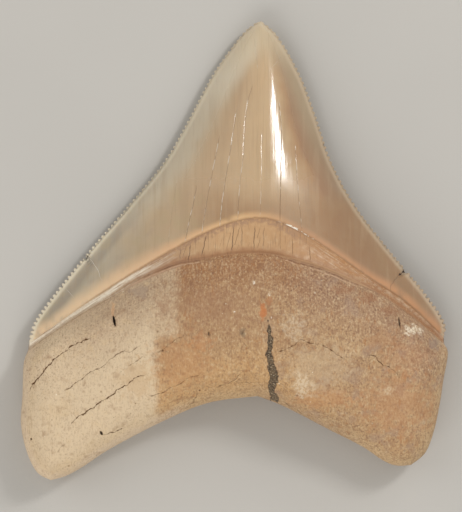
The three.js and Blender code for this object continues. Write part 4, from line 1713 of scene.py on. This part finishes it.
    def _assign_zones(self, sheet: bpy.types.Object, face: Face) -> None:
        """Give each face of a sheet its tissue.

        Args:
            sheet: The flat sheet.
            face: Which face of the tooth it is for.
        """
        _, level = self._unfold(self._centres(sheet))
        zone = np.where(level < ENAMEL, Zone.CROWN.value, Zone.BAND.value)
        zone = np.where(level > ROOT, Zone.ROOT.value, zone)
        if face is Face.OUTER:
            zone = np.where(level < OUTER_MARGIN, Zone.CROWN.value, Zone.ROOT.value)
        sheet.data.polygons.foreach_set("material_index", zone.astype(np.int32))

    # Drawing a sheet onto the tooth

    def _draw_on(self, sheet: bpy.types.Object, face: Face) -> None:
        """Move the points of a flat sheet to their places, and store what the finishes read.

        Args:
            sheet: The flat sheet.
            face: Which face of the tooth it is for.
        """
        mesh = sheet.data
        flat = np.empty(len(mesh.vertices) * 3)
        mesh.vertices.foreach_get("co", flat)
        flat = flat.reshape(-1, 3)[:, :2]
        reach, level = self._unfold(flat)
        on_rim = (np.abs(reach) > 1.0 - 1e-6) | (level > FOOT - 1e-6)
        if face is Face.OUTER:
            level = np.where(on_rim, level, self.form.outer_level(reach, level))
        place = self.form.plan(reach, level)
        inset = np.where(on_rim, 0.0, np.abs(self.form.rim_line.nearest(place)[1]))
        measures = self._measures(face, reach, level, place, inset)
        if face is Face.INNER:
            height = self.form.top(np.abs(reach), level, inset) + self._inner_relief(measures, level, place, inset)
        else:
            height = self.form.underside(np.abs(reach), level, inset) + self._outer_relief(measures, level, inset)
        height = np.where(on_rim, self.form.rim_height(np.abs(reach), level), height)
        place, height = self._cut_edge(place, height, reach, level, inset, face, measures)
        points = np.column_stack([place, np.maximum(height, 0.0)]) * MM
        mesh.vertices.foreach_set("co", points.ravel())
        for name, values in measures.items():
            mesh.attributes.new(name, "FLOAT", "POINT").data.foreach_set("value", values.astype(np.float32))
        mesh.update()

    def _measures(
        self, face: Face, reach: np.ndarray, level: np.ndarray, place: np.ndarray, inset: np.ndarray
    ) -> dict[str, np.ndarray]:
        """Measure what the finishes need at each point.

        Args:
            face: Which face the points are on.
            reach: Their reaches.
            level: Their levels.
            place: The points seen from above.
            inset: Their distances in from the outline.

        Returns:
            The values of each measure by its name.
        """
        if face is Face.INNER:
            to_enamel = self.form.enamel_line.nearest(place)[1]
            on_arm = smooth(place[:, 0], -3.0, -9.0) * (1.0 - smooth(place[:, 0], -13.0, -18.5))
            on_right = smooth(place[:, 0], 5.0, 8.5) * (1.0 - smooth(place[:, 0], 15.0, 20.0))
            to_root = self.groove_shift * (on_arm - 0.9 * on_right) - self.form.root_line.nearest(place)[1]
            crown = self.wear.crack_field(CROWN_CRACKS, place)
            band = self.wear.crack_field(BAND_CRACKS, place)
            root = self.wear.crack_field(ROOT_CRACKS, place)
            in_band = (level > ENAMEL) & (level < ROOT)
            across = np.where(level < ENAMEL, crown[0], np.where(in_band, band[0], root[0]))
            strength = np.where(level < ENAMEL, crown[1], np.where(in_band, band[1], root[1]))
            sunk = self.wear.pit_field(INNER_PITS, place)
            split = self.wear.split_field(place)
        else:
            to_enamel = self.form.outer_line.nearest(place)[1]
            to_root = -to_enamel
            crown = self.wear.crack_field(OUTER_CRACKS, place)
            root = self.wear.crack_field(OUTER_ROOT_CRACKS, place)
            across = np.where(to_enamel > 0.0, crown[0], root[0])
            strength = np.where(to_enamel > 0.0, crown[1], root[1])
            sunk = self.wear.pit_field(OUTER_PITS, place)
            split = np.full(len(place), -9.0)
        return {
            "reach": reach,
            "to_rim": inset,
            "to_enamel_edge": to_enamel,
            "to_root_edge": to_root,
            "crack": across,
            "crack_strength": strength,
            "sunk": sunk,
            "split": split,
        }

    def _inner_relief(
        self, measures: dict[str, np.ndarray], level: np.ndarray, place: np.ndarray, inset: np.ndarray
    ) -> np.ndarray:
        """Work out the inner face's relief: welt, step, groove, lumps, pits and split.

        Args:
            measures: What the finishes read.
            level: Level of each point.
            place: Points seen from above.
            inset: Distance in from the outline.

        Returns:
            One height for each point.
        """
        enamel, root = measures["to_enamel_edge"], measures["to_root_edge"]
        in_root = smooth(level, ROOT, 0.72)
        welt = self.welt_height * hump(enamel, 0.35, self.welt_width)
        hollow = -self.hollow_depth * hump(enamel, self.hollow_inset, self.hollow_width)
        recess = 1.0 - smooth(level, ROOT, 0.75)
        step = self.enamel_step * (smooth(enamel, -0.16, 0.1) - 1.0) * recess
        step *= 1.0 - 0.6 * smooth(place[:, 0], 9.0, 15.0)
        groove = -self.groove_depth * hump(root, 0.0, self.groove_width * 0.6)
        lip = self.lip_height * hump(root, self.lip_shift, self.lip_width)
        lumps = self.lump_height * (
            np.sin(place[:, 0] * 0.62 + 1.3) * np.cos(place[:, 1] * 0.55 - 0.4)
            + 0.7 * np.sin(place[:, 0] * 1.15 - place[:, 1] * 0.8 + 2.1)
            + 0.5 * np.cos(place[:, 0] * 0.9 + place[:, 1] * 1.6)
        )
        grain = 0.05 * unevenness(place, 1.6, Seed.COARSE_GRAIN) + 0.03 * unevenness(place, 0.75, Seed.FINE_GRAIN)
        split = -self.wear.split_depth * smooth(measures["split"], -0.08, 0.16)
        swell = 0.015 * unevenness(place / np.array([1.0, 6.0]), 1.3, Seed.SWELL) * (1.0 - in_root)
        fade = smooth(inset, 0.0, 1.4)
        relief = welt + hollow + step + groove + lip + swell + in_root * (lumps + grain)
        return fade * relief + in_root * smooth(inset, 0.0, 0.5) * split - measures["sunk"]

    def _outer_relief(self, measures: dict[str, np.ndarray], level: np.ndarray, inset: np.ndarray) -> np.ndarray:
        """Return the outer face's relief: the enamel stands proud of the root, and pits sink into it."""
        enamel = smooth(measures["to_enamel_edge"], -0.25, 0.25) * smooth(level, 0.4, 0.55)
        return measures["sunk"] - self.outer_step * enamel * smooth(inset, 0.0, 2.0)

    def _cut_edge(
        self,
        place: np.ndarray,
        height: np.ndarray,
        reach: np.ndarray,
        level: np.ndarray,
        inset: np.ndarray,
        face: Face,
        measures: dict[str, np.ndarray],
    ) -> tuple[np.ndarray, np.ndarray]:
        """Cut the serrations and the nicks into the cutting edges.

        Args:
            place: Points seen from above.
            height: Their heights.
            reach: Their reaches.
            level: Their levels.
            inset: Their distances in from the outline.
            face: Which face they are on.
            measures: What the finishes read; how deep in a cleft each point lies is added.

        Returns:
            The points and heights after the cuts.
        """
        place, height = place.copy(), height.copy()
        measures["cleft"] = np.zeros(len(place))
        for half, sign in ((self.form.left, -1.0), (self.form.right, 1.0)):
            near = (np.sign(reach) == sign) & (inset < self.edge_band) & (level < ENAMEL + 0.02)
            points = half.edge.samples[0][::2]
            along = Line(points).nearest(place[near])[0]
            along = np.where(inset[near] < 1e-9, level[near] / ENAMEL * half.edge.length, along)
            ahead = half.edge.at(np.minimum(along / half.edge.length + 1e-3, 1.0)) - half.edge.at(
                np.minimum(along / half.edge.length + 1e-3, 1.0) - 2e-3
            )
            ahead /= np.hypot(*ahead.T)[:, None]
            out = np.column_stack([-ahead[:, 1], ahead[:, 0]]) * sign
            cleft = self._cleft(half, along)
            depth = self.serration_depth * smooth(half.edge.length - along, 0.0, self.shoulder_fade)
            depth *= smooth(along, 0.0, self.tip_fade)
            at_rim = np.clip(1.0 - inset[near] / self.serration_reach, 0.0, 1.0)
            push = depth * (1.0 - cleft - self.crest_inset) * at_rim
            share, width, deep = half.nick
            wedge = np.clip(1.0 - np.abs(along - share * half.edge.length) / (width / 2.0), 0.0, 1.0)
            push -= deep * wedge * (1.0 - smooth(inset[near], 0.0, self.nick_reach))
            place[near] += out * push[:, None]
            side = -1.0 if face is Face.INNER else 1.0
            clefts = self.cleft_depth * cleft * depth / self.serration_depth
            clefts *= hump(inset[near], self.cleft_inset, self.cleft_width)
            height[near] += side * clefts * (inset[near] > 1e-9)
            measures["cleft"][near] = cleft * np.minimum(depth / self.serration_depth, 1.0)
        return place, height

    def _cleft(self, half: Half, along: np.ndarray) -> np.ndarray:
        """Measure how deep in a cleft between two serrations points are.

        Args:
            half: The half that the edge is on.
            along: How far along the edge each point is.

        Returns:
            0 on a serration to 1 in a cleft, for each point.
        """
        count = round(half.edge.length / half.serration_pitch)
        phase = along / half.edge.length * count
        number = np.clip(np.round(phase).astype(int), 0, count)
        random = np.random.default_rng(Seed.SERRATIONS.value)
        size = random.uniform(0.85, 1.1, count + 2)
        shift = random.uniform(-0.05, 0.05, count + 2)
        away = np.abs(phase - number - shift[number])
        return size[number] * np.clip(0.82 * hump(away, 0.0, 0.15) + 0.35 * hump(away, 0.0, 0.38), 0.0, 1.0)

    # Closing the skin

    def _close(self, inner: bpy.types.Object, outer: bpy.types.Object) -> bpy.types.Object:
        """Join the two faces along the rim and the foot into one closed skin.

        Args:
            inner: The inner face.
            outer: The outer face.

        Returns:
            The skin.
        """
        deselect_all()
        inner.select_set(True)
        outer.select_set(True)
        bpy.context.view_layer.objects.active = inner
        bpy.ops.object.join()
        inner.name = "fossil_tooth"
        inner.data.name = "fossil_tooth"
        bpy.ops.object.mode_set(mode="EDIT")
        bpy.ops.mesh.select_all(action="SELECT")
        bpy.ops.mesh.remove_doubles(threshold=1e-7)
        bpy.ops.mesh.dissolve_degenerate(threshold=1e-8)
        bpy.ops.mesh.normals_make_consistent(inside=False)
        bpy.ops.object.mode_set(mode="OBJECT")
        bpy.ops.object.shade_smooth()
        return inner


# The studio


@dataclass(frozen=True)
class Lamp:
    """A soft box: where it shines from, its width and height, its watts, and if gloss mirrors it."""

    name: str
    direction: tuple[float, float, float]
    size: tuple[float, float]
    power: float
    mirrored: bool = False


@dataclass
class Studio:
    """A pale table under soft light, with the camera straight above."""

    image_size: tuple[int, int] = (462, 512)
    pixels_per_mm: float = 7.25
    tooth_middle_px: tuple[float, float] = (234.5, 250.0)
    camera_height: float = 0.6
    focus_height: float = 0.003
    sensor_height: float = 24.0
    table_size: float = 3.0
    table_colour: str = "#c0bcb5"
    table_cloud: str = "#b6b2ab"
    lamps: tuple[Lamp, ...] = (
        Lamp("key", (0.57, 0.48, 0.75), (0.074, 0.13), 1.0, mirrored=True),
        Lamp("left_fill", (-0.7, 0.35, 0.65), (0.5, 0.5), 0.75),
        Lamp("right_fill", (0.6, 0.6, 0.55), (0.5, 0.5), 0.9),
        Lamp("front_fill", (-0.3, -0.8, 0.55), (0.6, 0.4), 1.8),
    )
    lamp_distance: float = 0.6
    sky_strength: float = 0.4

    def build(self) -> None:
        """Set the table, the camera and the lights."""
        self._table()
        self._camera()
        for lamp in self.lamps:
            self._hang(lamp)
        world = bpy.data.worlds.new("studio")
        bpy.context.scene.world = world
        world.use_nodes = True
        background = world.node_tree.nodes["Background"]
        background.inputs["Color"].default_value = (1.0, 0.99, 0.97, 1.0)
        background.inputs["Strength"].default_value = self.sky_strength
        bpy.context.scene.view_settings.view_transform = "Standard"

    def _table(self) -> None:
        """Lay the table under the tooth, with a fine matt grain."""
        deselect_all()
        bpy.ops.mesh.primitive_plane_add(size=self.table_size)
        table = bpy.context.object
        table.name = "table"
        s = Surface("matt_card")
        s.paint(1.0, self.table_colour)
        s.paint(s.noise(30.0, 2.0).step(0.4, 0.7, 0.15), self.table_cloud)
        s.raise_by(s.noise(0.4, 2.0), 0.01)
        table.data.materials.append(s.finish(0.85, 1.45))

    def _camera(self) -> None:
        """Hang the camera so that a millimetre is as many pixels as it should be."""
        width, height = self.image_size
        seen = height / self.pixels_per_mm * MM
        distance = self.camera_height - self.focus_height
        data = bpy.data.cameras.new("camera")
        data.sensor_fit = "VERTICAL"
        data.sensor_height = self.sensor_height
        data.lens = self.sensor_height * distance / seen
        data.clip_end = 10.0
        camera = bpy.data.objects.new("camera", data)
        px, py = self.tooth_middle_px
        x, y = (width / 2.0 - px) / self.pixels_per_mm, (py - height / 2.0) / self.pixels_per_mm
        camera.location = (x * MM, y * MM, self.camera_height)
        bpy.context.scene.collection.objects.link(camera)
        bpy.context.scene.camera = camera

    def _hang(self, lamp: Lamp) -> None:
        """Hang a soft box so that it faces the tooth.

        Args:
            lamp: The soft box.
        """
        data = bpy.data.lights.new(lamp.name, "AREA")
        data.shape = "RECTANGLE"
        data.size, data.size_y = lamp.size
        data.energy = lamp.power
        box = bpy.data.objects.new(lamp.name, data)
        box.visible_glossy = lamp.mirrored
        away = Vector(lamp.direction).normalized()
        box.location = away * self.lamp_distance
        box.rotation_euler = away.to_track_quat("Z", "Y").to_euler()
        bpy.context.scene.collection.objects.link(box)


def main() -> None:
    """Build the tooth and the studio, and hand the tooth to the frame."""
    logging.basicConfig(level=logging.INFO, format="%(name)s: %(message)s")
    tooth = Tooth().build()
    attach(tooth, "root")
    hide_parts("tooth")
    Studio().build()
    LOG.info("studio: table, camera, key and fill")


if __name__ == "__main__":
    main()
